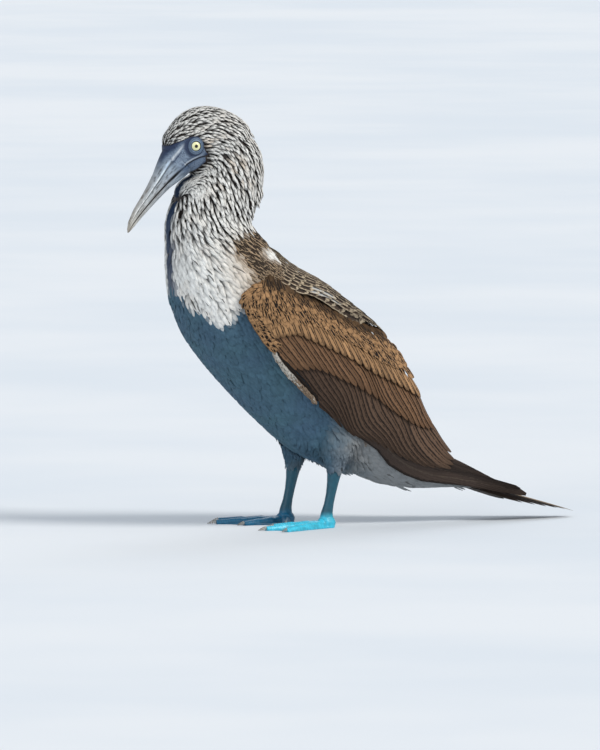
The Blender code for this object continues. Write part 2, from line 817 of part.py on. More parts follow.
def vane(face, path, beside, depth_of, stations, pitch=VANE_PITCH):
    """The points and faces of a thin tapered blade along a path.

    face gives a point at a place and a depth, and depth_of the depth of its tier at a place. beside is the
    path of the next vane, which passes over this one's far edge, so the blade is tilted to fall a pitch over
    the step between them.
    """
    rings = []
    for part in stations:
        wide, thick = between_rows(VANE_WIDTHS, part), between_rows(VANE_THICKNESSES, part)
        here = path(part)
        run = (path(min(part + 0.02, 1)) - path(max(part - 0.02, 0))).normalized()
        across = Vector((-run.y, run.x))
        offset = (beside(part) - here).dot(across)
        step = max(abs(offset), VANE_LEAST_STEP)
        full = step * VANE_OVERLAP
        corners = []
        for edge in (-1, 1):
            shift = edge * full * wide / 2
            spot = here + across * math.copysign(shift, shift * offset)
            corners.append((spot, depth_of(*spot) + pitch * (shift + full / 2) / step))
        thickness = VANE_THICKNESS * thick
        (near, top_near), (far, top_far) = corners
        rings.append(
            [
                face(near.x, near.y, top_near),
                face(far.x, far.y, top_far),
                face(far.x, far.y, top_far + thickness),
                face(near.x, near.y, top_near + thickness),
            ]
        )
    return blade(rings)


def blade(rings):
    """The points and faces of a blade through rings of four corners, closed at both ends."""
    points = [point for ring in rings for point in ring]
    last = 4 * (len(rings) - 1)
    faces = [[0, 1, 2], [0, 2, 3], [last, last + 2, last + 1], [last, last + 3, last + 2]]
    for low in range(0, last, 4):
        a, b, c, d, e, f, g, h = range(low, low + 8)
        faces += [[a, e, f], [a, f, b], [d, c, g], [d, g, h]]
        faces += [[b, f, c], [f, g, c], [a, d, e], [d, h, e]]
    return points, faces


def between_rows(rows, value):
    """The value at a distance, between those of a table of pairs."""
    value = min(max(value, rows[0][0]), rows[-1][0])
    for (a, low), (b, high) in zip(rows, rows[1:]):
        if value <= b:
            return low + (high - low) * (value - a) / (b - a)


def vane_object(points, faces, side, finish):
    """A vane as an object, mirrored for the right side."""
    placed = [Vector((side * p.x, p.y, p.z)) for p in points]
    return object_of("vane", mesh_of("vane", placed, faces), finish)


def make_arm():
    """The points of the rings of the folded arm, from the wing's front edge back to its rear top."""
    rings = []
    for row in range(ARM_ROWS + 1):
        share = row / ARM_ROWS
        border = arm_border(share)
        edge = border * ARM_BORDER_SHARE - ARM_BORDER_STEP
        inset = [(border, ARM_BORDER_DEPTH), (edge, 0.0)] + ARM_TERRACES
        outer, inner = [], []
        for behind, depth in inset:
            t, n = arm_place(share, behind)
            thick = row_at(WING_STATIONS, t)[6]
            outer.append(under_face(t, n, depth))
            inner.append(under_face(t, n, max(thick, depth + ARM_FLOOR)))
        rings.append(outer + inner[::-1])
    return rings


def wing_vane(path, beside, depths):
    """A vane of the left wing, with its depths by distance across the tips of the median coverts."""

    def depth_of(t, n):
        """The tier's depth at a place."""
        return between_rows(depths, beyond_tips(t, n))

    stations = vane_stations(path, [row[0] for row in depths])
    return vane(under_face, path, beside, depth_of, stations)


def tier_vanes(tips, count, start, depths):
    """The vanes of a tier of the left wing, as points and faces."""

    def path_of(k):
        """The path of a vane. One past the last lies as far on as the last does from the one before."""
        share = TIER_START + (TIER_END - TIER_START) * k / (count - 1)
        if k == count:
            last, before = path_of(count - 1), path_of(count - 2)
            return lambda part: last(part) * 2 - before(part)
        return feather_path([arm_place(share, start), along_table(tips, share)])

    paths = [path_of(k) for k in range(count + 1)]
    return [wing_vane(a, b, depths) for a, b in zip(paths, paths[1:])]


def primary_vanes():
    """The long vanes of the hand, which pass under the others to the tip of the wing."""

    def between(ends, share):
        """The place at a share of the way between two ends."""
        return [a + (b - a) * share for a, b in zip(*ends)]

    def path_of(k):
        """The path of a vane."""
        share = k / (PRIMARY_COUNT - 1)
        root = PRIMARY_ROOTS[0] + (PRIMARY_ROOTS[1] - PRIMARY_ROOTS[0]) * share
        nodes = [arm_place(root, PRIMARY_BEHIND), between(PRIMARY_MIDDLES, share)]
        return feather_path(nodes + [between(PRIMARY_TIPS, share)])

    paths = [path_of(k) for k in range(PRIMARY_COUNT + 1)]
    return [wing_vane(a, b, PRIMARY_DEPTHS) for a, b in zip(paths, paths[1:])]


def left_wing_vanes():
    """Every vane of the left wing."""
    found = primary_vanes()
    for tips, count, start, depths in TIERS:
        found += tier_vanes(tips, count, start, depths)
    return found


def make_wing(name, side, under):
    """The folded wing: its arm, and tiers of vanes rooted in it. It gives the wing and a cutter of its arm."""
    rings = [[Vector((side * p.x, p.y, p.z)) for p in ring] for ring in make_arm()]
    wing = loft(name, rings, "wing")
    arm = swollen(wing)
    cut(wing, [swollen(found) for found in under])
    join(wing, [vane_object(points, faces, side, "wing") for points, faces in left_wing_vanes()])
    return wing, arm


def mantle_point(t, across, depth):
    """A point at a depth under the mantle's outer face, with the place across as x."""

    def outer(t, across):
        """A point of the outer face."""
        _, top, half_width, edge, _ = row_at(MANTLE_STATIONS, t)
        return body_point(t, top - (top - edge) * (across / half_width) ** 2, across)

    step = MANTLE_SLOPE_STEP
    along = outer(t + step, across) - outer(t - step, across)
    beside = outer(t, across + step) - outer(t, across - step)
    return outer(t, across) + along.cross(beside).normalized() * depth


def mantle_vanes():
    """The tiers of shoulder feathers, the middle one of each tier uppermost, as points and faces."""
    found = []
    for count, reach, root, tips, depths in MANTLE_TIERS:
        half = count // 2

        def depth_of(t, _):
            """The tier's depth at a place."""
            return between_rows(depths, t)

        def path_of(k):
            """The path of the vane that is k steps from the middle."""
            share = k / half
            end = tips[0] + (tips[1] - tips[0]) * share * share

            def at(part):
                """The place at a share of the path."""
                t = root + (end - root) * part
                return Vector((t, share * reach * row_at(MANTLE_STATIONS, t)[2]))

            return at

        for k in range(-half, half + 1):
            inward = k - 1 if k > 0 else k + 1
            pitch = VANE_PITCH if k else 0
            found.append(vane(mantle_point, path_of(k), path_of(inward), depth_of, MANTLE_PARTS, pitch))
    return found


def make_mantle(torso, arms):
    """The feathered back between the wings, over their upper edges."""
    columns = 8
    rings = []
    for t, depth in MANTLE_TERRACES:
        half_width, thick = row_at(MANTLE_STATIONS, t)[2], row_at(MANTLE_STATIONS, t)[4]
        outer, inner = [], []
        for column in range(columns + 1):
            across = (2 * column / columns - 1) * half_width
            outer.append(mantle_point(t, across, depth))
            inner.append(mantle_point(t, across * MANTLE_UNDER_WIDTH, thick))
        rings.append(outer + inner[::-1])
    mantle = loft("mantle", rings, "mantle")
    join(mantle, [vane_object(points, faces, 1, "mantle") for points, faces in mantle_vanes()])
    cut(mantle, [swollen(torso)] + arms)


def tail_point(t, across, depth):
    """A point at a depth under the top of the tail, whose feathers slope down to either side."""
    return body_point(t, TAIL_N + TAIL_TOP - TAIL_ROOF * across * across - depth, across)


def tail_vane(layer, side):
    """A tail feather, in a layer of its own under those nearer the middle."""
    root, end, tip = TAIL_FEATHERS[layer]
    rings = []
    for part, wide in TAIL_WIDTHS:
        centre = root + (tip - root) * part
        half_width = TAIL_HALF_WIDTH * wide
        inner, outer = max(centre - half_width, GAP), centre + half_width
        t = TAIL_ROOT + (end - TAIL_ROOT) * part
        top = layer * TAIL_PITCH
        low = top + VANE_THICKNESS * between_rows(VANE_THICKNESSES, part)
        edges = ((inner, low), (outer, low), (outer, top), (inner, top))
        rings.append([tail_point(t, side * across, depth) for across, depth in edges])
    return blade(rings)


def make_tail():
    """The tail: a short base and six pairs of feathers rooted in it."""
    rings = []
    for t, half_width, half_height in TAIL_BASE:
        up = (body_point(t, 1, 0) - body_point(t, 0, 0)).normalized()
        side = Vector((1, 0, 0))
        rings.append(oval(body_point(t, TAIL_N, 0), up, side, half_height, half_width, 16, 2.0))
    tail = loft("tail", rings, "tail")
    vanes = [tail_vane(layer, side) for layer in range(len(TAIL_FEATHERS)) for side in (-1, 1)]
    join(tail, [vane_object(points, faces, 1, "tail") for points, faces in vanes])
    return tail


def upright(name, stations, finish, count):
    """A solid through level ovals: x, y, z, half width, half depth."""
    rings = [
        oval(Vector((x, y, z)), Vector((0, 1, 0)), Vector((1, 0, 0)), deep, wide, count, 2.0)
        for x, y, z, wide, deep in stations
    ]
    return loft(name, rings, finish)


def make_thigh(name, side, foot_y, over):
    """The feathered upper leg, from inside the torso's outline down to the ankle."""
    x = side * LEG_SIDE
    y = foot_y + LEG_LEAN
    ankle = ANKLE_HEIGHT + GAP
    stations = [
        (x * 0.86, y + 0.009, 0.120, 0.018, 0.024),
        (x * 0.90, y + 0.007, 0.100, 0.020, 0.026),
        (x * 0.96, y + 0.004, 0.086, 0.016, 0.020),
        (x * 0.99, y + 0.001, 0.075, 0.0115, 0.0135),
        (x, y, ankle, 0.0085, 0.0095),
    ]
    thigh = upright(name, stations, "thigh", 16)
    cut(thigh, [swollen(found) for found in over])


def make_leg(name, side, foot_y):
    """The bare lower leg, from the ankle joint down to the foot."""
    x = side * LEG_SIDE
    stations = [
        (x, foot_y + LEG_LEAN, ANKLE_HEIGHT, 0.0062, 0.0072),
        (x, foot_y + LEG_LEAN, 0.058, 0.0068, 0.0080),
        (x, foot_y + LEG_LEAN * 0.85, 0.050, 0.0056, 0.0068),
        (x, foot_y + LEG_LEAN * 0.6, 0.038, 0.0044, 0.0058),
        (x, foot_y + LEG_LEAN * 0.3, 0.026, 0.0043, 0.0057),
        (x, foot_y + LEG_LEAN * 0.05, 0.017, 0.0052, 0.0068),
        (x, foot_y, FOOT_HEIGHT + GAP, 0.0064, 0.0078),
    ]
    return upright(name, stations, "leg", 14)


# Each toe: name, angle out from straight ahead in degrees, length, claw length.
TOES = [
    ("hind", -78, 0.030, 0.008),
    ("inner", -25, 0.058, 0.009),
    ("middle", 1, 0.078, 0.010),
    ("outer", 23, 0.075, 0.008),
]
TOE_ROOT = (0.0062, 0.0088)
TOE_END = (0.0034, 0.0050)
WEB_THICKNESS = 0.0016


def foot_matrix(side, foot_y):
    """From a left foot pointing along -Y, its heel at the origin, to the world."""
    turn = Matrix.Rotation(TOE_OUT, 4, "Z")
    mirror = Matrix.Diagonal((side, 1, 1, 1))
    return Matrix.Translation((side * LEG_SIDE, foot_y, 0)) @ mirror @ turn


def toe_direction(angle):
    """The level unit vector of a toe, at an angle out from -Y."""
    out = math.radians(angle)
    return Vector((math.sin(out), -math.cos(out), 0))


def arch_ring(centre, along, half_width, height, count=9):
    """A low arch over the floor: flat below, round above."""
    across = Vector((-along.y, along.x, 0))
    ring = []
    for k in range(count):
        angle = math.pi * k / (count - 1)
        level = math.sin(angle) ** 0.8 * height
        ring.append(centre + across * math.cos(angle) * half_width + Vector((0, 0, level)))
    return ring


def toe_solid(place, angle, length):
    """A toe, flat below, from the heel to its end."""
    along = toe_direction(angle)
    rings = []
    for share in (0.0, 0.3, 0.36, 0.6, 0.66, 0.9, 1.0):
        swell = 1.12 if share in (0.36, 0.66) else 1.0
        wide = (TOE_ROOT[0] + (TOE_END[0] - TOE_ROOT[0]) * share) * swell
        high = (TOE_ROOT[1] + (TOE_END[1] - TOE_ROOT[1]) * share) * swell
        ring = arch_ring(along * length * share, along, wide, high)
        rings.append([place @ p for p in ring])
    return loft("toe", rings, "leg")


def web_outline():
    """The outline of the web, round the heel and scooped between the toes' ends."""
    ends = [toe_direction(angle) * (length - 0.002) for _, angle, length, _ in TOES]
    outline = [Vector((0.007, 0.006, 0)), Vector((0, 0.009, 0)), Vector((-0.007, 0.006, 0))]
    for start, end in zip(ends, ends[1:]):
        scoop = 0.10
        for k in range(6):
            share = k / 6
            inward = 4 * share * (1 - share) * scoop
            outline.append((start * (1 - share) + end * share) * (1 - inward))
    outline.append(ends[-1])
    return outline


def web_solid(place):
    """The web of the foot as a thin plate on the floor."""
    outline = web_outline()
    count = len(outline)
    points = [place @ p for p in outline]
    points += [place @ (p + Vector((0, 0, WEB_THICKNESS))) for p in outline]
    faces = [list(range(count)), list(range(count, 2 * count))]
    for k in range(count):
        after = (k + 1) % count
        faces.append([k, after, after + count, k + count])
    return object_of("web", mesh_of("web", points, faces), "leg")


def heel_solid(place):
    """The joint where the toes meet, flat on top for the lower leg."""
    rings = []
    for height, wide, deep in (
        (0.0, 0.0082, 0.0095),
        (0.006, 0.0092, 0.0108),
        (FOOT_HEIGHT, 0.0074, 0.0088),
    ):
        centre = Vector((0, 0, height))
        ring = oval(centre, Vector((0, 1, 0)), Vector((1, 0, 0)), deep, wide, 16, 2.0)
        rings.append([place @ p for p in ring])
    return loft("heel", rings, "leg")


def claw_solid(name, place, angle, length, claw_length):
    """A curved claw that meets the end of its toe."""
    along = toe_direction(angle)
    rings = []
    for share in (0.0, 0.25, 0.55, 0.82, 1.0):
        thick = 0.0020 * (1 - share) ** 0.7 + 0.0003
        rise = 0.0030 - 0.0021 * share**1.6
        centre = along * (length + GAP + claw_length * share) + Vector((0, 0, rise))
        across = Vector((-along.y, along.x, 0))
        ring = oval(centre, Vector((0, 0, 1)), across, thick, thick * 0.8, 8, 2.0)
        rings.append([place @ p for p in ring])
    return loft(name, rings, "claw")


def make_foot(name, side, foot_y):
    """A foot with its four toes joined by webs, and a claw on each toe."""
    place = foot_matrix(side, foot_y)
    foot = heel_solid(place)
    foot.name = "foot_" + name
    toes = [toe_solid(place, angle, length) for _, angle, length, _ in TOES]
    join(foot, toes + [web_solid(place)])
    for toe, angle, length, claw_length in TOES:
        claw_solid(f"claw_{name}_{toe}", place, angle, length, claw_length)


def centre_on_origin():
    """Moves the whole bird so that the origin is under the middle of its box."""
    corners = [
        found.matrix_world @ vertex.co
        for found in BIRD.objects
        if not found.hide_render
        for vertex in found.data.vertices
    ]
    middle_x = (min(p.x for p in corners) + max(p.x for p in corners)) / 2
    middle_y = (min(p.y for p in corners) + max(p.y for p in corners)) / 2
    floor = min(p.z for p in corners)
    for found in BIRD.objects:
        found.data.transform(Matrix.Translation((-middle_x, -middle_y, -floor)))


def main():
    """Builds the bird."""
    make_head_and_neck()
    make_bill()
    torso = trunk("torso", TORSO_STATIONS, "torso", 2, 24, GAP)
    tail = make_tail()
    under = [torso, tail]
    wings, arms = zip(make_wing("wing_left", 1, under), make_wing("wing_right", -1, under))
    make_mantle(torso, list(arms))
    sides = (("left", 1, LEFT_FOOT_Y), ("right", -1, RIGHT_FOOT_Y))
    for (name, side, foot_y), wing in zip(sides, wings):
        make_thigh(f"thigh_{name}", side, foot_y, [torso, wing])
        make_leg(f"leg_{name}", side, foot_y)
        make_foot(name, side, foot_y)
    centre_on_origin()


clear_scene()
BIRD = bpy.data.collections.new("blue_footed_booby")
bpy.context.scene.collection.children.link(BIRD)
main()
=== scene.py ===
"""Dresses the blue-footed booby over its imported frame: skin, plumage, bill, eyes, legs, feet and claws."""

import logging
import math
from dataclasses import dataclass, field
from enum import Enum

import bmesh
import bpy
import numpy as np
from mathutils import Matrix, Vector
from mathutils.bvhtree import BVHTree
from mathutils.kdtree import KDTree


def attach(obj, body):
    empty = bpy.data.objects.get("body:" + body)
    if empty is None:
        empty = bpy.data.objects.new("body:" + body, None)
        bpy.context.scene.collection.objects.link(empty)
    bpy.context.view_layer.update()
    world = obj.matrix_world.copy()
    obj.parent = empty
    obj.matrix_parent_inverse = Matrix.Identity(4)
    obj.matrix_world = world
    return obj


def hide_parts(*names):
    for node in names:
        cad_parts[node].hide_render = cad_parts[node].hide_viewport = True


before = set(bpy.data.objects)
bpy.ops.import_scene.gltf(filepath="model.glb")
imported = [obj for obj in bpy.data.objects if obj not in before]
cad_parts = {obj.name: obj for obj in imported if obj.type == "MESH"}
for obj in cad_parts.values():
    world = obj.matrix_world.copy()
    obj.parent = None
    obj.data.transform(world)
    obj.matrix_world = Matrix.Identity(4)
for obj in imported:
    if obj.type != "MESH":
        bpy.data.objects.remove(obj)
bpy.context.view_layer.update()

LOG = logging.getLogger("booby")
Array = np.ndarray
Colour = tuple[float, float, float]
Pairs = tuple[tuple[float, float], ...]
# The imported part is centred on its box, so its own places lie this far along Y from the tables below.
ORIGIN_SHIFT = -0.05822

# The body frame: t runs back along the body, n up out of its back, and x to its left.
BODY_PITCH = math.radians(45)
BODY_ORIGIN_Z = 0.015
BEND_START = 0.010
BEND_LENGTH = 0.080
BEND_ANGLE = math.radians(29)
BEND_N = 0.120

# The head frame: forward along the bill's heading, up, and x to the left.
HEAD_CENTRE = Vector((0, -0.0993 + ORIGIN_SHIFT, 0.4214))
HEAD_TURN = math.radians(8)
BILL_BASE = (0.0488, -0.0177)
BILL_PITCH = math.radians(50)
EYE_FORWARD_PLACE = 0.0385
EYE_UP_PLACE = 0.0007
EYE_OUT = 0.0230
EYE_TURN = math.radians(16)
EYE_RADIUS = 0.0078
EYE_DEPTH = 0.0048

# The side of a feather's patch on the bake map.
BAKE_PATCH = 0.003


class Side(Enum):
    """A side of the bird."""

    LEFT = 1
    RIGHT = -1

    @property
    def label(self) -> str:
        """Its name in the names of nodes and pieces."""
        return self.name.lower()


class SmoothTable:
    """Rows of sizes, read smoothly at any value of their first column."""

    def __init__(self, rows: list[tuple[float, ...]]) -> None:
        """Keeps the rows.

        Args:
            rows: the rows, with the first column rising.
        """
        self.rows = np.array(rows, float)

    def at(self, values: Array | float) -> Array:
        """The rows at given values of the first column.

        Args:
            values: one value or an array of them.

        Returns:
            An array with a column more than the values, of the table's columns.
        """
        values = np.clip(np.asarray(values, float), self.rows[0, 0], self.rows[-1, 0])
        low = np.clip(np.searchsorted(self.rows[:, 0], values, side="left") - 1, 0, len(self.rows) - 2)
        start, end = self.rows[low], self.rows[low + 1]
        share = ((values - start[..., 0]) / (end[..., 0] - start[..., 0]))[..., None]
        before = self.rows[np.maximum(low - 1, 0)]
        after = self.rows[np.minimum(low + 2, len(self.rows) - 1)]
        slope_in, slope_out = (end - before) / 2, (after - start) / 2
        s2, s3 = share**2, share**3
        found = (2 * s3 - 3 * s2 + 1) * start + (s3 - 2 * s2 + share) * slope_in
        return found + (3 * s2 - 2 * s3) * end + (s3 - s2) * slope_out


def body_points(t: Array, n: Array, x: Array) -> Array:
    """Points of the body frame in the part's frame.

    Args:
        t: distances back along the body.
        n: distances up out of the back.
        x: distances to the left.

    Returns:
        The points, with their three places in the last column.
    """
    t, n, x = np.broadcast_arrays(t, n, x)
    run, drop = math.cos(BODY_PITCH), math.sin(BODY_PITCH)
    straight = np.minimum(t, BEND_START)
    curved = np.clip(t - BEND_START, 0, BEND_LENGTH)
    pitch = BODY_PITCH - BEND_ANGLE * curved / BEND_LENGTH
    radius = BEND_LENGTH / BEND_ANGLE
    rest = np.maximum(t - BEND_START - BEND_LENGTH, 0)
    y = straight * run + BEND_N * drop + radius * (drop - np.sin(pitch))
    y = y + rest * np.cos(pitch) + (n - BEND_N) * np.sin(pitch) + ORIGIN_SHIFT
    z = BODY_ORIGIN_Z - straight * drop + BEND_N * run - radius * (np.cos(pitch) - run)
    z = z + (n - BEND_N) * np.cos(pitch) - rest * np.sin(pitch)
    return np.stack([x, y, z], axis=-1)


def head_matrix() -> Matrix:
    """From the head frame, x left, y back and z up, to the part's frame."""
    return Matrix.Translation(HEAD_CENTRE) @ Matrix.Rotation(HEAD_TURN, 4, "Z")


def eye_matrix(side: Side) -> Matrix:
    """The place of an eye's frame, with +Z out of the head through the pupil.

    Args:
        side: the side of the bird.

    Returns:
        The matrix from the eye's frame to the part's frame.
    """
    place = Matrix.Translation((side.value * EYE_OUT, -EYE_FORWARD_PLACE, EYE_UP_PLACE))
    lean = Matrix.Rotation(-side.value * EYE_TURN, 4, "Z")
    return head_matrix() @ place @ lean @ Matrix.Rotation(side.value * math.pi / 2, 4, "Y")


def place_points(points: Array, matrix: Matrix) -> Array:
    """Points moved by a matrix."""
    moved = np.array(matrix)
    return points @ moved[:3, :3].T + moved[:3, 3]


def head_points(forward: Array, up: Array, side: Array) -> Array:
    """Points of the head frame in the part's frame.

    Args:
        forward: distances towards the bill.
        up: distances up.
        side: distances to the left.

    Returns:
        The points, with their three places in the last column.
    """
    forward, up, side = np.broadcast_arrays(forward, up, side)
    return place_points(np.stack([side, -forward, up], axis=-1), head_matrix())


def into_head(points: Array) -> tuple[Array, Array, Array]:
    """Forward, up and side in the head frame of points of the part's frame."""
    local = place_points(points, head_matrix().inverted())
    return -local[..., 1], local[..., 2], local[..., 0]


def unit(vectors: Array) -> Array:
    """Vectors made one long."""
    return vectors / np.maximum(np.linalg.norm(vectors, axis=-1, keepdims=True), 1e-12)


def blend(low: float, high: float, values: Array) -> Array:
    """A smooth step from 0 at one value to 1 at another."""
    share = np.clip((values - low) / (high - low), 0, 1)
    return share * share * (3 - 2 * share)


def wobble(points: Array, scale: float, seed: float = 0.0) -> Array:
    """A smooth noise between -1 and 1 over space, from a few crossed waves.

    Args:
        points: where to read it.
        scale: the length of its waves.
        seed: a shift that gives another noise of the same kind.

    Returns:
        One value for each point.
    """
    total = np.zeros(points.shape[:-1])
    for k, (a, b, c) in enumerate(((1.0, 0.31, -0.52), (-0.42, 1.1, 0.37), (0.55, -0.63, 1.2))):
        phase = seed * (1.7 + k) + 2.1 * k
        wave = (points @ np.array([a, b, c])) * 2 * math.pi / scale
        total = total + np.sin(wave + phase + 1.3 * np.sin(wave * 0.53 + phase * 2.3))
    return total / 3


def mix(first: Array, second: Array, share: Array) -> Array:
    """Values between two, by the share of the second."""
    return first * (1 - share) + second * share


def quarter_turn(run: Array) -> Array:
    """Flat directions turned a quarter to the left."""
    return np.stack([-run[..., 1], run[..., 0]], axis=-1)


def four(colours: Array, last: Array | float = 1.0) -> Array:
    """Colours with a fourth value each."""
    return np.concatenate([colours, np.broadcast_to(np.reshape(last, (-1, 1)), (len(colours), 1))], axis=1)


def smooth_line(corners: Array | tuple, count: int) -> Array:
    """Places along a smooth line.

    Args:
        corners: its corners, with two or more measures each.
        count: how many places to give.

    Returns:
        The places.
    """
    table = SmoothTable([(k, *corner) for k, corner in enumerate(corners)])
    return table.at(np.linspace(0, len(corners) - 1, count))[:, 1:]


def on_thigh(points: Array, low: float) -> Array:
    """How far points lie on the thighs, wholly so below a height."""
    share = blend(0.118, low, points[..., 2]) * blend(0.014, 0.024, np.abs(points[..., 0]))
    return share * blend(0.075, 0.045, points[..., 1] - ORIGIN_SHIFT)


def vectors_of(items: object, name: str) -> Array:
    """Reads a vector from each item of a mesh's collection.

    Args:
        items: the collection, such as a mesh's vertices.
        name: the name of the vector.

    Returns:
        The vectors.
    """
    found = np.empty(len(items) * 3, np.float32)
    items.foreach_get(name, found)
    return found.reshape(-1, 3).astype(float)

# Node trees


class Graph:
    """A node tree, filled by calls that each add one node."""

    def __init__(self, tree: bpy.types.NodeTree) -> None:
        """Keeps the tree to fill."""
        self.tree = tree

    def fill(self, node: bpy.types.Node, inputs: dict) -> None:
        """Sets or links inputs of a node.

        Args:
            node: the node.
            inputs: values or sockets, by the input's name or number.
        """
        for name, value in inputs.items():
            if isinstance(value, bpy.types.NodeSocket):
                self.tree.links.new(value, node.inputs[name])
            else:
                node.inputs[name].default_value = value

    def add(self, kind: str, inputs: dict | None = None, **settings: object) -> bpy.types.Node:
        """Adds a node.

        Args:
            kind: Blender's name of the node's type.
            inputs: values or sockets for its inputs, by name or number.
            settings: other settings of the node.

        Returns:
            The node.
        """
        node = self.tree.nodes.new(kind)
        for name, value in settings.items():
            setattr(node, name, value)
        self.fill(node, inputs or {})
        return node

    def math(self, operation: str, *values: object) -> bpy.types.NodeSocket:
        """Adds an operation on one to three numbers and gives its result."""
        return self.add("ShaderNodeMath", dict(enumerate(values)), operation=operation).outputs[0]

    def times(self, first: object, second: object) -> bpy.types.NodeSocket:
        """Adds a product and gives it."""
        return self.math("MULTIPLY", first, second)

    def scaled(self, value: object, factor: float, offset: object) -> bpy.types.NodeSocket:
        """Adds a product with an offset and gives the result."""
        return self.math("MULTIPLY_ADD", value, factor, offset)

    def mix(self, share: object, first: object, second: object, kind: str = "MIX") -> bpy.types.NodeSocket:
        """Adds a mix of two colours and gives the colour."""
        inputs = {0: share, 6: first, 7: second}
        return self.add("ShaderNodeMix", inputs, data_type="RGBA", blend_type=kind).outputs[2]

    def step(self, value: object, low: float, high: float, top: float = 1.0) -> bpy.types.NodeSocket:
        """Adds a smooth step from 0 between two values and gives the result."""
        inputs = {"Value": value, "From Min": low, "From Max": high, "To Min": 0.0, "To Max": top}
        return self.add("ShaderNodeMapRange", inputs, interpolation_type="SMOOTHSTEP").outputs["Result"]

    def noise(self, scale: object, detail: float = 3.0, rough: float = 0.55, at: object = None) -> object:
        """Adds a noise over the object's own space and gives its value.

        Args:
            scale: its scale.
            detail: its detail.
            rough: its roughness.
            at: another place to read it at.

        Returns:
            The socket of its value.
        """
        where = at or self.add("ShaderNodeTexCoord").outputs["Object"]
        inputs = {"Vector": where, "Scale": scale, "Detail": detail, "Roughness": rough}
        return self.add("ShaderNodeTexNoise", inputs).outputs["Fac"]

    def attribute(self, name: str) -> list:
        """Adds a reader of a colour attribute and gives its sockets of colour and fourth value."""
        return self.add("ShaderNodeVertexColor", layer_name=name).outputs

    def cover(self, shader: bpy.types.Node, tree: bpy.types.NodeTree, inputs: dict, relief: float) -> None:
        """Gives a shader the colour and the relief of a shared group.

        Args:
            shader: the shader.
            tree: the group.
            inputs: values or sockets for the group's inputs.
            relief: how high its relief is.
        """
        group = self.add("ShaderNodeGroup", node_tree=tree)
        self.fill(group, inputs)
        heights = {"Height": group.outputs["Height"], "Distance": relief, "Strength": 1.0}
        bump = self.add("ShaderNodeBump", heights)
        self.fill(shader, {"Base Color": group.outputs["Color"], "Normal": bump.outputs["Normal"]})


def new_group(name: str, inputs: dict[str, object]) -> tuple[Graph, dict, bpy.types.Node]:
    """Makes a shader node group that gives a colour and a height.

    Args:
        name: the group's name.
        inputs: a default value for each input by name, whose type gives the socket's.

    Returns:
        Its graph, the sockets of its inputs and its output node.
    """
    tree = bpy.data.node_groups.new(name, "ShaderNodeTree")
    for key, value in inputs.items():
        kind = "NodeSocketFloat"
        if isinstance(value, tuple):
            kind = "NodeSocketColor" if len(value) == 4 else "NodeSocketVector"
        socket = tree.interface.new_socket(key, in_out="INPUT", socket_type=kind)
        socket.default_value = value
    tree.interface.new_socket("Color", in_out="OUTPUT", socket_type="NodeSocketColor")
    tree.interface.new_socket("Height", in_out="OUTPUT", socket_type="NodeSocketFloat")
    graph = Graph(tree)
    return graph, graph.add("NodeGroupInput").outputs, graph.add("NodeGroupOutput")


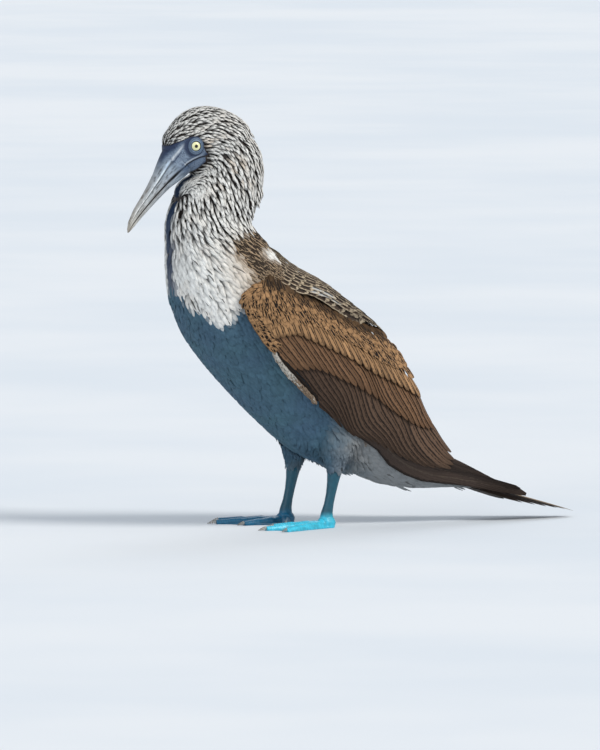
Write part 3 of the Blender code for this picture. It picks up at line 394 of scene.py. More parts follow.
class SharedEffects:
    """The node groups that several finishes use, each built once."""

    def __init__(self) -> None:
        """Builds the groups."""
        self.vane = self.build_vane()
        self.grain = self.build_grain()

    def build_vane(self) -> bpy.types.NodeTree:
        """The markings and barbs of a feather, over its own map: across and along from 0 to 1.

        Returns:
            The group.
        """
        inputs = {
            "Vane": (0.0, 0.0, 0.0),
            "Tone": (0.5, 0.5, 0.5, 1.0),
            "Mark": (0.1, 0.1, 0.1, 1.0),
            "Mark Strength": 0.5,
            "Rim": (0.8, 0.8, 0.8, 1.0),
            "Rim Strength": 0.5,
            "Mark Width": 0.3,
            "Rim Start": 0.6,
            "Rim At Tip": 0.0,
            "Root Light": 1.0,
            "Barbs": 40.0,
        }
        graph, given, result = new_group("vane markings", inputs)
        place = graph.add("ShaderNodeSeparateXYZ", {0: given["Vane"]}).outputs
        across, along = graph.math("ABSOLUTE", graph.scaled(place[0], 2.0, -1.0)), place[1]
        spread = graph.noise(260.0, 2.0)
        ragged = graph.scaled(spread, 0.5, -0.25)
        rough_across, rough_along = graph.math("ADD", across, ragged), graph.math("ADD", along, ragged)
        # The dark streak along the shaft thins towards its ends.
        taper = graph.times(graph.step(along, 0.0, 0.25), graph.step(along, 1.0, 0.78))
        inside = graph.math("SUBTRACT", graph.times(given["Mark Width"], taper), rough_across)
        streak = graph.times(graph.step(inside, -0.06, 0.10), given["Mark Strength"])
        # The rim follows the sides, and the tip as far as the feather asks.
        at_tip = given["Rim At Tip"]
        tip = graph.times(graph.step(rough_along, 0.78, 0.92), at_tip)
        ends = graph.math("MAXIMUM", graph.math("SUBTRACT", 1.0, graph.step(along, 0.72, 0.98)), at_tip)
        sides = graph.step(graph.math("SUBTRACT", rough_across, given["Rim Start"]), -0.05, 0.12)
        rim = graph.times(graph.math("MAXIMUM", graph.times(sides, ends), tip), given["Rim Strength"])
        colour = graph.mix(rim, graph.mix(streak, given["Tone"], given["Mark"]), given["Rim"])
        # Barbs run out and back from the shaft.
        slant = graph.scaled(across, -0.22, along)
        barbs = graph.math("SINE", graph.times(graph.times(slant, given["Barbs"]), 2 * math.pi))
        relief = graph.math("ADD", barbs, graph.scaled(graph.noise(900.0, 2.0), 0.8, -0.4))
        # The barbs' relief darkens the colour a little in its hollows: painted shade.
        shade = graph.times(graph.scaled(relief, 0.035, 1.0), graph.scaled(spread, 0.3, 0.85))
        # The root is darker than the tip, as much as the feather asks.
        # It is partly the feathers' dark base and partly painted shade where they overlap.
        darker = graph.math("SUBTRACT", 1.0, given["Root Light"])
        root = graph.times(graph.step(rough_along, 0.62, 0.25), darker)
        shade = graph.times(shade, graph.math("SUBTRACT", 1.0, root))
        grey = graph.add("ShaderNodeCombineXYZ", {0: shade, 1: shade, 2: shade}).outputs[0]
        lit = graph.add("ShaderNodeVectorMath", {0: colour, 1: grey}, operation="MULTIPLY")
        graph.fill(result, {"Color": lit.outputs[0], "Height": relief})
        return graph.tree

    def build_grain(self) -> bpy.types.NodeTree:
        """A mottled tint and fine pores for skin, horn and scales.

        Returns:
            The group.
        """
        inputs = {"Color": (0.5, 0.5, 0.5, 1.0), "Dark": (0.1, 0.1, 0.1, 1.0)}
        inputs |= {"Mottle Scale": 60.0, "Mottle": 0.3, "Pore Scale": 900.0}
        graph, given, result = new_group("grain", inputs)
        mottle = graph.noise(given["Mottle Scale"], 5.0, 0.6)
        pores = graph.noise(given["Pore Scale"], 2.0, 0.5)
        amount = graph.times(graph.step(mottle, 0.35, 0.72), given["Mottle"])
        colour = graph.mix(amount, given["Color"], given["Dark"])
        graph.fill(result, {"Color": colour, "Height": graph.scaled(pores, 0.5, mottle)})
        return graph.tree


@dataclass(frozen=True)
class Finish:
    """A finish with a Principled shader, whose constant values stand on its own sockets."""

    name: str
    roughness: float = 0.6
    coat: float = 0.0
    specular: float = 0.5

    def start(self) -> tuple[bpy.types.Material, Graph, bpy.types.Node]:
        """Makes the material with its shader.

        Returns:
            The material, its graph and its shader.
        """
        made = bpy.data.materials.new(self.name)
        made.use_nodes = True
        made.node_tree.nodes.clear()
        graph = Graph(made.node_tree)
        values = {"Roughness": self.roughness, "Coat Weight": self.coat}
        shader = graph.add("ShaderNodeBsdfPrincipled", values | {"Specular IOR Level": self.specular})
        graph.add("ShaderNodeOutputMaterial", {"Surface": shader.outputs[0]})
        return made, graph, shader


@dataclass(frozen=True)
class PlumageFinish(Finish):
    """Feathers, coloured from their own attributes and marked over their own map."""

    barbs: float = 14.0
    relief: float = 0.00012

    def build(self, effects: SharedEffects) -> bpy.types.Material:
        """Makes the material.

        Args:
            effects: the shared node groups.

        Returns:
            The material.
        """
        made, graph, shader = self.start()
        tone, mark, rim, form = (graph.attribute(name) for name in ("tone", "mark", "rim", "form"))
        width, start, at_tip = graph.add("ShaderNodeSeparateColor", {0: form[0]}).outputs
        vane = graph.add("ShaderNodeUVMap", uv_map="Vane").outputs[0]
        inputs = {"Vane": vane, "Tone": tone[0], "Barbs": self.barbs, "Root Light": form[1]}
        inputs |= {"Mark": mark[0], "Mark Strength": mark[1], "Mark Width": width}
        inputs |= {"Rim": rim[0], "Rim Strength": rim[1], "Rim Start": start, "Rim At Tip": at_tip}
        graph.cover(shader, effects.vane, inputs, self.relief)
        return made


@dataclass(frozen=True)
class GrainFinish(Finish):
    """Skin, horn or scales, coloured from their own attribute and mottled with a darker tint of it."""

    dark: Colour = (0.40, 0.38, 0.40)
    mottle: float = 0.35
    scale: float = 120.0
    pores: float = 1400.0
    relief: float = 0.0004

    def build(self, effects: SharedEffects) -> bpy.types.Material:
        """Makes the material.

        Args:
            effects: the shared node groups.

        Returns:
            The material.
        """
        made, graph, shader = self.start()
        tone = graph.attribute("tone")[0]
        inputs = {"Color": tone, "Dark": graph.mix(1.0, tone, (*self.dark, 1.0), "MULTIPLY")}
        inputs |= {"Mottle Scale": self.scale, "Mottle": self.mottle, "Pore Scale": self.pores}
        graph.cover(shader, effects.grain, inputs, self.relief)
        return made


# Feathers


@dataclass
class Looks:
    """The colours and markings of a lot of feathers, one row a feather."""

    tone: Array
    mark: Array
    rim: Array
    form: Array

    @staticmethod
    def of(count: int, tone: object, mark: object, rim: object, form: object) -> "Looks":
        """Looks from colours that are the same for all feathers, or have a row for each.

        Args:
            count: how many feathers there are.
            tone: the ground colour.
            mark: the colour of the streak on the shaft, and its strength.
            rim: the colour of the edge, and its strength.
            form: the streak's width, where the edge starts, how far it goes round the tip, and how light
                the root is.

        Returns:
            The looks.
        """
        parts = (np.asarray(part, float) for part in (tone, mark, rim, form))
        return Looks(*(np.array(np.broadcast_to(part, (count, 4))) for part in parts))


@dataclass(frozen=True)
class VaneForm:
    """The outline and the section that a lot of feathers share."""

    widths: tuple[tuple[float, float], ...]
    stations: int
    section: tuple[tuple[float, float], ...]

    def along(self) -> Array:
        """The shares of the length at which the feather has corners, closer together at its tip."""
        even = np.linspace(0, 1, self.stations)
        return 1 - (1 - even) ** 1.35

    def widths_along(self) -> Array:
        """The share of the full width at each of them."""
        shares, widths = zip(*self.widths)
        return np.interp(self.along(), shares, widths)

    def across(self) -> Array:
        """Places across the section, from -1 to 1."""
        return np.array([place for place, _ in self.section])

    def rises(self) -> Array:
        """How far the section rises at each of them, in shares of the half width."""
        return np.array([rise for _, rise in self.section])


LANCE = VaneForm(
    ((0, 0.6), (0.25, 1.0), (0.55, 0.97), (0.8, 0.7), (0.93, 0.4), (1.0, 0.08)),
    8,
    ((-1, 0.0), (-0.55, 0.42), (0, 0.60), (0.55, 0.42), (1, 0.0)),
)
SOFT = VaneForm(
    ((0, 0.5), (0.3, 0.95), (0.6, 1.0), (0.85, 0.72), (0.95, 0.4), (1.0, 0.1)),
    7,
    ((-1, 0.0), (-0.5, 0.10), (0, 0.15), (0.5, 0.10), (1, 0.0)),
)
ROUND = VaneForm(
    ((0, 0.45), (0.3, 0.92), (0.62, 1.0), (0.85, 0.82), (0.95, 0.5), (1.0, 0.12)),
    8,
    ((-1, 0.0), (-0.5, 0.16), (0, 0.26), (0.5, 0.16), (1, 0.0)),
)
FLIGHT = VaneForm(
    ((0, 0.55), (0.2, 0.9), (0.55, 1.0), (0.85, 0.85), (0.94, 0.6), (0.98, 0.34), (1.0, 0.08)),
    20,
    ((-1, 0.0), (-0.6, 0.05), (-0.2, 0.08), (-0.1, 0.08), (0, 0.16), (0.1, 0.08), (0.5, 0.06), (1, 0.0)),
)


@dataclass
class Blades:
    """Points, faces, maps and colours of a lot of feathers."""

    points: Array
    faces: Array
    vane: Array
    bake: Array
    looks: Looks

    @staticmethod
    def assemble(top: Array, form: VaneForm, roots: Array, looks: Looks) -> "Blades":
        """Closes a lot of upper faces by their undersides and lays out their maps.

        Args:
            top: the places of the corners, by feather, station and place across.
            form: the feathers' form.
            roots: each root's place on the unwrapped skin.
            looks: their colours.

        Returns:
            The feathers.
        """
        count, rows, columns = top.shape[:3]
        under = top[:, :, [columns - 1, 0]]
        each = rows * (columns + 2)
        points = np.concatenate([top.reshape(count, -1, 3), under.reshape(count, -1, 3)], axis=1)
        faces = []
        for width, first in ((columns, 0), (2, rows * columns)):
            for row in range(rows - 1):
                for column in range(width - 1):
                    a = first + row * width + column
                    faces += [[a, a + 1, a + width + 1], [a, a + width + 1, a + width]]
        faces = np.array(faces)[None] + (np.arange(count) * each)[:, None, None]
        across, along = form.across(), form.along()
        edges = (across, across[[-1, 0]])
        local = np.concatenate([np.stack(np.meshgrid(at, along), axis=-1).reshape(-1, 2) for at in edges])
        vane = np.tile(np.stack([local[:, 0] / 2 + 0.5, local[:, 1]], axis=1), (count, 1, 1))
        patch = np.stack([local[:, 0] / 2, local[:, 1] - 0.5], axis=1) * BAKE_PATCH
        bake = roots[:, None] + patch[None]
        spread = (np.repeat(part, each, axis=0) for part in (looks.tone, looks.mark, looks.rim, looks.form))
        flat = (part.reshape(-1, part.shape[-1]) for part in (points, faces, vane, bake))
        return Blades(*flat, Looks(*spread))

    @staticmethod
    def object_of(name: str, lots: list["Blades"], finish: bpy.types.Material) -> bpy.types.Object:
        """Makes one object of several lots.

        Args:
            name: its name.
            lots: the lots of feathers.
            finish: its material.

        Returns:
            The object.
        """
        starts = np.cumsum([0] + [len(lot.points) for lot in lots[:-1]])
        faces = np.concatenate([lot.faces + start for lot, start in zip(lots, starts)])
        points = np.concatenate([lot.points for lot in lots])
        made = mesh_object(name, points, faces, finish)
        for layer, shown in (("vane", "Vane"), ("bake", "OFBake")):
            places = np.concatenate([getattr(lot, layer) for lot in lots])
            add_map(made.data, shown, places[faces.reshape(-1)])
        for layer in ("tone", "mark", "rim", "form"):
            add_colour(made.data, layer, np.concatenate([getattr(lot.looks, layer) for lot in lots]))
        return made


def mesh_object(name: str, points: Array, faces: Array, finish: bpy.types.Material) -> bpy.types.Object:
    """Makes an object from triangles, in the scene's collection.

    Args:
        name: its name.
        points: its points.
        faces: three point numbers for each triangle.
        finish: its material.

    Returns:
        The object.
    """
    mesh = bpy.data.meshes.new(name)
    mesh.vertices.add(len(points))
    mesh.vertices.foreach_set("co", np.ascontiguousarray(points, np.float32).reshape(-1))
    mesh.loops.add(3 * len(faces))
    mesh.loops.foreach_set("vertex_index", np.ascontiguousarray(faces, np.int32).reshape(-1))
    mesh.polygons.add(len(faces))
    mesh.polygons.foreach_set("loop_start", np.arange(0, 3 * len(faces), 3, dtype=np.int32))
    mesh.update(calc_edges=True)
    mesh.shade_smooth()
    mesh.materials.append(finish)
    made = bpy.data.objects.new(name, mesh)
    bpy.context.scene.collection.objects.link(made)
    return made


def add_map(mesh: bpy.types.Mesh, name: str, places: Array) -> None:
    """Adds a map with a place for each corner of each face."""
    layer = mesh.uv_layers.new(name=name)
    layer.uv.foreach_set("vector", np.ascontiguousarray(places, np.float32).reshape(-1))


def add_colour(mesh: bpy.types.Mesh, name: str, colours: Array) -> None:
    """Adds a colour attribute with a colour for each point."""
    layer = mesh.color_attributes.new(name, "FLOAT_COLOR", "POINT")
    layer.data.foreach_set("color", np.ascontiguousarray(colours, np.float32).reshape(-1))


def piece_of(name: str, shape: bmesh.types.BMesh) -> bpy.types.Object:
    """Makes an object of a shape, in the scene's collection.

    Args:
        name: its name.
        shape: the shape, which is used up.

    Returns:
        The object.
    """
    mesh = bpy.data.meshes.new(name)
    shape.to_mesh(mesh)
    shape.free()
    made = bpy.data.objects.new(name, mesh)
    bpy.context.scene.collection.objects.link(made)
    return made


def settle(mesh: bpy.types.Mesh, finish: bpy.types.Material, points: Array, colours: Array) -> None:
    """Gives a mesh its final points, finish and colours.

    Args:
        mesh: the mesh.
        finish: its material.
        points: the place of each point.
        colours: the colour of each point.
    """
    mesh.vertices.foreach_set("co", points.astype(np.float32).reshape(-1))
    mesh.update()
    mesh.shade_smooth()
    mesh.materials.clear()
    mesh.materials.append(finish)
    add_colour(mesh, "tone", four(colours))


def apply_modifier(made: bpy.types.Object, kind: str, **settings: object) -> None:
    """Adds a modifier to an object and keeps its result.

    Args:
        made: the object.
        kind: Blender's name of the modifier's type.
        settings: the modifier's settings.
    """
    change = made.modifiers.new("change", kind)
    for name, value in settings.items():
        setattr(change, name, value)
    bpy.context.view_layer.update()
    graph = bpy.context.evaluated_depsgraph_get()
    result = bpy.data.meshes.new_from_object(made.evaluated_get(graph))
    made.modifiers.clear()
    made.data = result


def dress(made: bpy.types.Object, stands_for: list[str]) -> None:
    """Lets a piece ride on the bird and stand for its nodes.

    Args:
        made: the piece.
        stands_for: the nodes that it replaces.
    """
    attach(made, "root")
    if stands_for:
        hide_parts(*stands_for)
    LOG.info("%s: %d triangles", made.name, len(made.data.loops) - 2 * len(made.data.polygons))
# The body's lie


class Lie:
    """How the coat lies: along a line through the body from the bill to the tail."""

    SOFTNESS = 0.0035
    CORNERS = (
        (-0.160, 0.403), (-0.130, 0.413), (-0.105, 0.414), (-0.092, 0.390), (-0.097, 0.362),
        (-0.106, 0.336), (-0.101, 0.302), (-0.080, 0.252), (-0.028, 0.198), (0.035, 0.130),
        (0.089, 0.087), (0.140, 0.056), (0.200, 0.041),
    )

    def __init__(self) -> None:
        """Samples the line finely."""
        places = smooth_line(self.CORNERS, 260)
        self.line = np.stack([np.zeros(len(places)), places[:, 0] + ORIGIN_SHIFT, places[:, 1]], axis=1)
        self.run = unit(np.gradient(self.line, axis=0))
        self.reach = np.concatenate([[0], np.cumsum(np.linalg.norm(np.diff(self.line, axis=0), axis=1))])

    def near(self, points: Array) -> tuple[Array, Array, Array]:
        """The line beside points, averaged softly over its nearest stretch.

        Args:
            points: the points, one a row.

        Returns:
            The distance along the line, the line's direction and the line's place.
        """
        square = (self.line**2).sum(-1)
        found = []
        for start in range(0, len(points), 8000):
            part = points[start : start + 8000]
            distance = (part**2).sum(-1)[:, None] + square - 2 * part @ self.line.T
            distance = np.sqrt(np.maximum(distance, 0))
            weight = np.exp((distance.min(axis=1, keepdims=True) - distance) / self.SOFTNESS)
            weight /= weight.sum(axis=1, keepdims=True)
            found.append(weight @ np.column_stack([self.reach, self.run, self.line]))
        found = np.concatenate(found)
        return found[:, 0], unit(found[:, 1:4]), found[:, 4:]

    def direction(self, points: Array) -> Array:
        """The direction in which the coat lies: along the line, out at the nape and down the thighs.

        Args:
            points: the points.

        Returns:
            A direction for each point, not made one long.
        """
        thigh = on_thigh(points, 0.088)[..., None]
        reach, run, _ = self.near(points)
        out = blend(0.07, 0.11, reach) * blend(0.24, 0.17, reach) * blend(0.004, 0.02, np.abs(points[..., 0]))
        run = run + np.array([0.0, 1.0, 0.0]) * 0.55 * out[..., None]
        return mix(run, np.array([0.0, 0.10, -1.0]), thigh)

    def place(self, points: Array) -> tuple[Array, Array]:
        """Distance along the line, and the angle round it from the back, 0, to the front, pi, of points.

        Args:
            points: the points.

        Returns:
            The distances, and the angles with the left side positive.
        """
        reach, run, place = self.near(points)
        away = points - place
        back = np.stack([np.zeros(len(run)), -run[:, 2], run[:, 1]], axis=-1)
        return reach, np.arctan2(away[:, 0], (away * back).sum(-1))

    def unwrap(self, points: Array) -> Array:
        """Places of points on the skin unrolled about the line."""
        reach, angle = self.place(points)
        return np.stack([reach / self.reach[-1] * 0.98 + 0.01, angle / (2 * math.pi) * 0.98 + 0.5], axis=-1)


class Ground:
    """A skin to plant feathers in: its nearest points and how it faces there."""

    # How many places are tried for each that is kept.
    TRIES = 5.0

    def __init__(self, source: bpy.types.Object) -> None:
        """Reads the skin's mesh.

        Args:
            source: the skin.
        """
        mesh = source.data
        mesh.calc_loop_triangles()
        self.points, self.normals = vectors_of(mesh.vertices, "co"), vectors_of(mesh.vertices, "normal")
        self.triangles = np.empty(len(mesh.loop_triangles) * 3, np.int32)
        mesh.loop_triangles.foreach_get("vertices", self.triangles)
        self.triangles = self.triangles.reshape(-1, 3)
        self.tree = BVHTree.FromPolygons(self.points.tolist(), self.triangles.tolist())
        self.face_normals = unit(self.normals[self.triangles].mean(axis=1))

    def nearest(self, points: Array) -> tuple[Array, Array]:
        """The nearest place on the skin to each point.

        Args:
            points: the points.

        Returns:
            The places, and how the skin faces there.
        """
        places, index = np.empty_like(points), np.empty(len(points), int)
        for k, point in enumerate(points.tolist()):
            places[k], _, index[k], _ = self.tree.find_nearest(point)
        return places, self.face_normals[index]

    def scatter(self, spacing: Array, allowed: Array, rng: np.random.Generator) -> Array:
        """Places spread evenly over the skin, at a spacing that may change over it.

        Args:
            spacing: the spacing at each point of the mesh.
            allowed: how far each point takes feathers, from 0 to 1.
            rng: the source of chance.

        Returns:
            The places.
        """
        first, second, third = (self.points[self.triangles[:, k]] for k in range(3))
        area = np.linalg.norm(np.cross(second - first, third - first), axis=1) / 2
        step = spacing[self.triangles].mean(axis=1)
        weight = area / step**2 * (allowed[self.triangles].mean(axis=1) > 0.5)
        tries = int(self.TRIES * weight.sum())
        chosen = rng.choice(len(weight), tries, p=weight / weight.sum())
        a, b = rng.random(tries), rng.random(tries)
        a, b = np.where(a + b > 1, 1 - a, a)[:, None], np.where(a + b > 1, 1 - b, b)[:, None]
        places = first[chosen] + a * (second - first)[chosen] + b * (third - first)[chosen]
        tree = KDTree(tries)
        for k, place in enumerate(places.tolist()):
            tree.insert(place, k)
        tree.balance()
        alive, kept = np.ones(tries, bool), []
        for k, place in enumerate(places.tolist()):
            if alive[k]:
                kept.append(k)
                for _, other, _ in tree.find_range(place, step[chosen[k]]):
                    alive[other] = False
        return places[kept]


@dataclass
class Planting:
    """Where the feathers of a lot stand, how large they are, how they look and how they stray."""

    roots: Array
    length: Array
    width: Array
    height: Array
    looks: Looks
    stray: float
    wave: float = 0.22


def grow(ground: Ground, lie: Lie, planting: Planting, form: VaneForm, rng: np.random.Generator) -> Blades:
    """Grows a lot of feathers along the skin.

    Args:
        ground: the skin.
        lie: the direction in which they lie.
        planting: where they stand and how large they are.
        form: their outline and section.
        rng: the source of chance.

    Returns:
        The feathers.
    """
    count, along = len(planting.roots), form.along()
    stray = rng.normal(0, planting.stray, count)[:, None]
    place, up = ground.nearest(planting.roots)
    centres, ups, runs = [], [], []
    held = np.ones((count, 1), bool)
    for k, share in enumerate(along):
        run = lie.direction(place)
        level = np.where(held, 1.0, 0.3)
        run = unit(run - (run * up).sum(-1, keepdims=True) * up * level)
        side = np.cross(run, up)
        turn = stray + planting.wave * wobble(place, 0.017, 8)[:, None]
        run = run * np.cos(turn) + side * np.sin(turn)
        centres.append(place)
        ups.append(up)
        runs.append(run)
        if k + 1 < len(along):
            step = (planting.length * (along[k + 1] - share))[:, None]
            ahead = place + run * step
            found, facing = ground.nearest(ahead)
            held = np.linalg.norm(found - ahead, axis=-1, keepdims=True) < step * 0.5
            held &= (facing * lie.direction(place)).sum(-1, keepdims=True) < 0.35
            place, up = np.where(held, found, ahead), np.where(held, facing, up)
    centre, up, run = (np.stack(part, axis=1) for part in (centres, ups, runs))
    side = np.cross(run, up)
    rise = np.interp(along, [0, 0.15, 0.5, 0.85, 1.0], [-0.3, 0.15, 0.7, 1.0, 0.95])
    rise = planting.height[:, None] * rise[None]
    half = (planting.width / 2)[:, None] * form.widths_along()[None]
    roll = rng.normal(0, 0.07, count)[:, None, None]
    across, bulge = form.across()[None, None], form.rises()[None, None]
    top = centre[:, :, None] + side[:, :, None] * (across * half[..., None])[..., None]
    height = rise[..., None] + half[..., None] * (bulge - 0.12 * across**2 + roll * across)
    top = top + up[:, :, None] * height[..., None]
    return Blades.assemble(top, form, lie.unwrap(planting.roots), planting.looks)


# Wings


class WingPlan:
    """The folded left wing's outer face, and the lines on which its feathers end."""

    STATIONS = SmoothTable(
        [
            (-0.242, 0.100, 0.124, 0.0620, 0.0650, 0.0610),
            (-0.232, 0.097, 0.137, 0.0645, 0.0690, 0.0600),
            (-0.212, 0.086, 0.148, 0.0670, 0.0725, 0.0570),
            (-0.189, 0.078, 0.156, 0.0690, 0.0755, 0.0530),
            (-0.160, 0.074, 0.168, 0.0695, 0.0765, 0.0430),
            (-0.131, 0.072, 0.180, 0.0680, 0.0760, 0.0330),
            (-0.100, 0.073, 0.194, 0.0650, 0.0745, 0.0220),
            (-0.072, 0.078, 0.206, 0.0610, 0.0715, 0.0150),
            (-0.035, 0.084, 0.2045, 0.0560, 0.0660, 0.0130),
            (0.000, 0.104, 0.196, 0.0500, 0.0590, 0.0120),
            (0.030, 0.113, 0.186, 0.0450, 0.0520, 0.0160),
            (0.060, 0.119, 0.174, 0.0400, 0.0460, 0.0230),
            (0.090, 0.123, 0.156, 0.0360, 0.0400, 0.0290),
            (0.120, 0.125, 0.146, 0.0315, 0.0350, 0.0300),
            (0.155, 0.126, 0.138, 0.0270, 0.0300, 0.0265),
            (0.195, 0.126, 0.132, 0.0220, 0.0245, 0.0220),
        ]
    )
    WIDEST = 0.3
    PAST_EDGE = 0.12
    MIDDLE_GAP = 0.0006
    MEDIAN_TIPS = np.array(
        [
            (-0.187, 0.0855), (-0.179, 0.100), (-0.164, 0.120), (-0.130, 0.134), (-0.094, 0.148),
            (-0.062, 0.156), (-0.034, 0.168), (0.000, 0.180), (0.018, 0.187),
        ]
    )
    GREATER_TIPS = np.array(
        [
            (-0.140, 0.0890), (-0.130, 0.098), (-0.120, 0.109), (-0.098, 0.119), (-0.068, 0.130),
            (-0.042, 0.138), (-0.015, 0.143), (0.015, 0.151), (0.044, 0.161), (0.062, 0.170),
        ]
    )
    SECONDARY_TIPS = np.array(
        [
            (-0.084, 0.084), (-0.052, 0.0845), (-0.028, 0.090), (0.000, 0.104), (0.036, 0.114),
            (0.068, 0.120), (0.094, 0.128), (0.096, 0.139), (0.090, 0.151), (0.076, 0.164),
        ]
    )
    FEATHER_ANGLES = (math.radians(29), math.radians(17))
    FEATHER_RUN = math.radians(22)

    def edges(self, t: Array) -> tuple[Array, Array]:
        """The wing's lower and upper edge at t."""
        rows = self.STATIONS.at(t)
        return rows[..., 1], rows[..., 2]

    def face(self, t: Array, n: Array) -> Array:
        """Points of the outer face, which runs on a little past the wing's edges.

        Args:
            t: distances back along the body.
            n: distances up out of the back.

        Returns:
            The points.
        """
        rows = self.STATIONS.at(t)
        low, high, x_low, x_mid, x_high = (rows[..., k] for k in range(1, 6))
        share = np.clip((n - low) / (high - low), -self.PAST_EDGE, 1 + self.PAST_EDGE)
        lower = x_mid - (x_mid - x_low) * (1 - share / self.WIDEST) ** 2
        upper = x_mid - (x_mid - x_high) * ((share - self.WIDEST) / (1 - self.WIDEST)) ** 2
        return body_points(t, n, np.where(share < self.WIDEST, lower, upper))

    def under(self, t: Array, n: Array, depth: Array) -> Array:
        """Points under the outer face.

        Args:
            t: distances back along the body.
            n: distances up out of the back.
            depth: how far under the face they lie.

        Returns:
            The points.
        """
        t, n, depth = np.broadcast_arrays(t, n, depth)
        step = 0.002
        along = self.face(t + step, n) - self.face(t - step, n)
        across = self.face(t, n + step) - self.face(t, n - step)
        inward = unit(np.cross(along, across))
        inward = np.where(inward[..., :1] > 0, -inward, inward)
        points = self.face(t, n) + inward * depth[..., None]
        points[..., 0] = np.maximum(points[..., 0], self.MIDDLE_GAP)
        return points

    def along_line(self, line: Array, shares: Array) -> Array:
        """Places on a line of tips.

        Args:
            line: the line's corners.
            shares: shares of the distance that it covers across the feathers.

        Returns:
            The places.
        """
        run = np.array([math.cos(self.FEATHER_RUN), -math.sin(self.FEATHER_RUN)])
        steps = np.diff(line, axis=0)
        reach = np.concatenate([[0], np.cumsum(np.abs(steps[:, 0] * run[1] - steps[:, 1] * run[0]))])
        where = np.asarray(shares) * reach[-1]
        return np.stack([np.interp(where, reach, line[:, k]) for k in (0, 1)], axis=-1)

    def arm_place(self, shares: Array, behind: Array) -> Array:
        """Places along the arm.

        Args:
            shares: shares of the way along it.
            behind: their distance behind the tips of the median coverts.

        Returns:
            The places.
        """
        tips = self.along_line(self.MEDIAN_TIPS, shares)
        first, last = self.FEATHER_ANGLES
        angle = first + (last - first) * np.asarray(shares)
        t, n = tips[..., 0] + np.cos(angle) * behind, tips[..., 1] - np.sin(angle) * behind
        low, high = self.edges(t)
        return np.stack([t, np.minimum(n, low + (high - low) * 0.97)], axis=-1)

    def beyond_tips(self, places: Array) -> Array:
        """How far places on the wing lie behind the line of tips of the median coverts.

        Args:
            places: the places.

        Returns:
            A distance for each, less than 0 in front of the line.
        """
        best = np.full(places.shape[:-1], np.inf)
        last = len(self.MEDIAN_TIPS) - 2
        for k, (first, second) in enumerate(zip(self.MEDIAN_TIPS, self.MEDIAN_TIPS[1:])):
            line = second - first
            share = ((places - first) @ line) / (line @ line)
            share = np.clip(share, 0 if k else -9, 1 if k < last else 9)
            away = places - (first + line * share[..., None])
            distance = np.hypot(away[..., 0], away[..., 1])
            signed = np.copysign(distance, away[..., 0] * line[1] - away[..., 1] * line[0])
            best = np.where(distance < np.abs(best), signed, best)
        return best

    def unwrap(self, places: Array) -> Array:
        """Places on the wing's face laid flat."""
        return np.stack([(places[..., 0] + 0.25) / 0.5, (places[..., 1] - 0.05) / 0.5 + 0.05], axis=-1)


@dataclass
class Tier:
    """A tier of the wing's feathers."""

    tips: Array
    count: int
    # How far behind the tips of the median coverts its roots lie, and its depth by distance behind them.
    behind: float
    depths: Pairs
    form: VaneForm = FLIGHT
    # Their width in steps from one to the next, how far one lies under the next, and the least step.
    overlap: float = 1.6
    pitch: float = 0.0007
    least: float = 0.0014


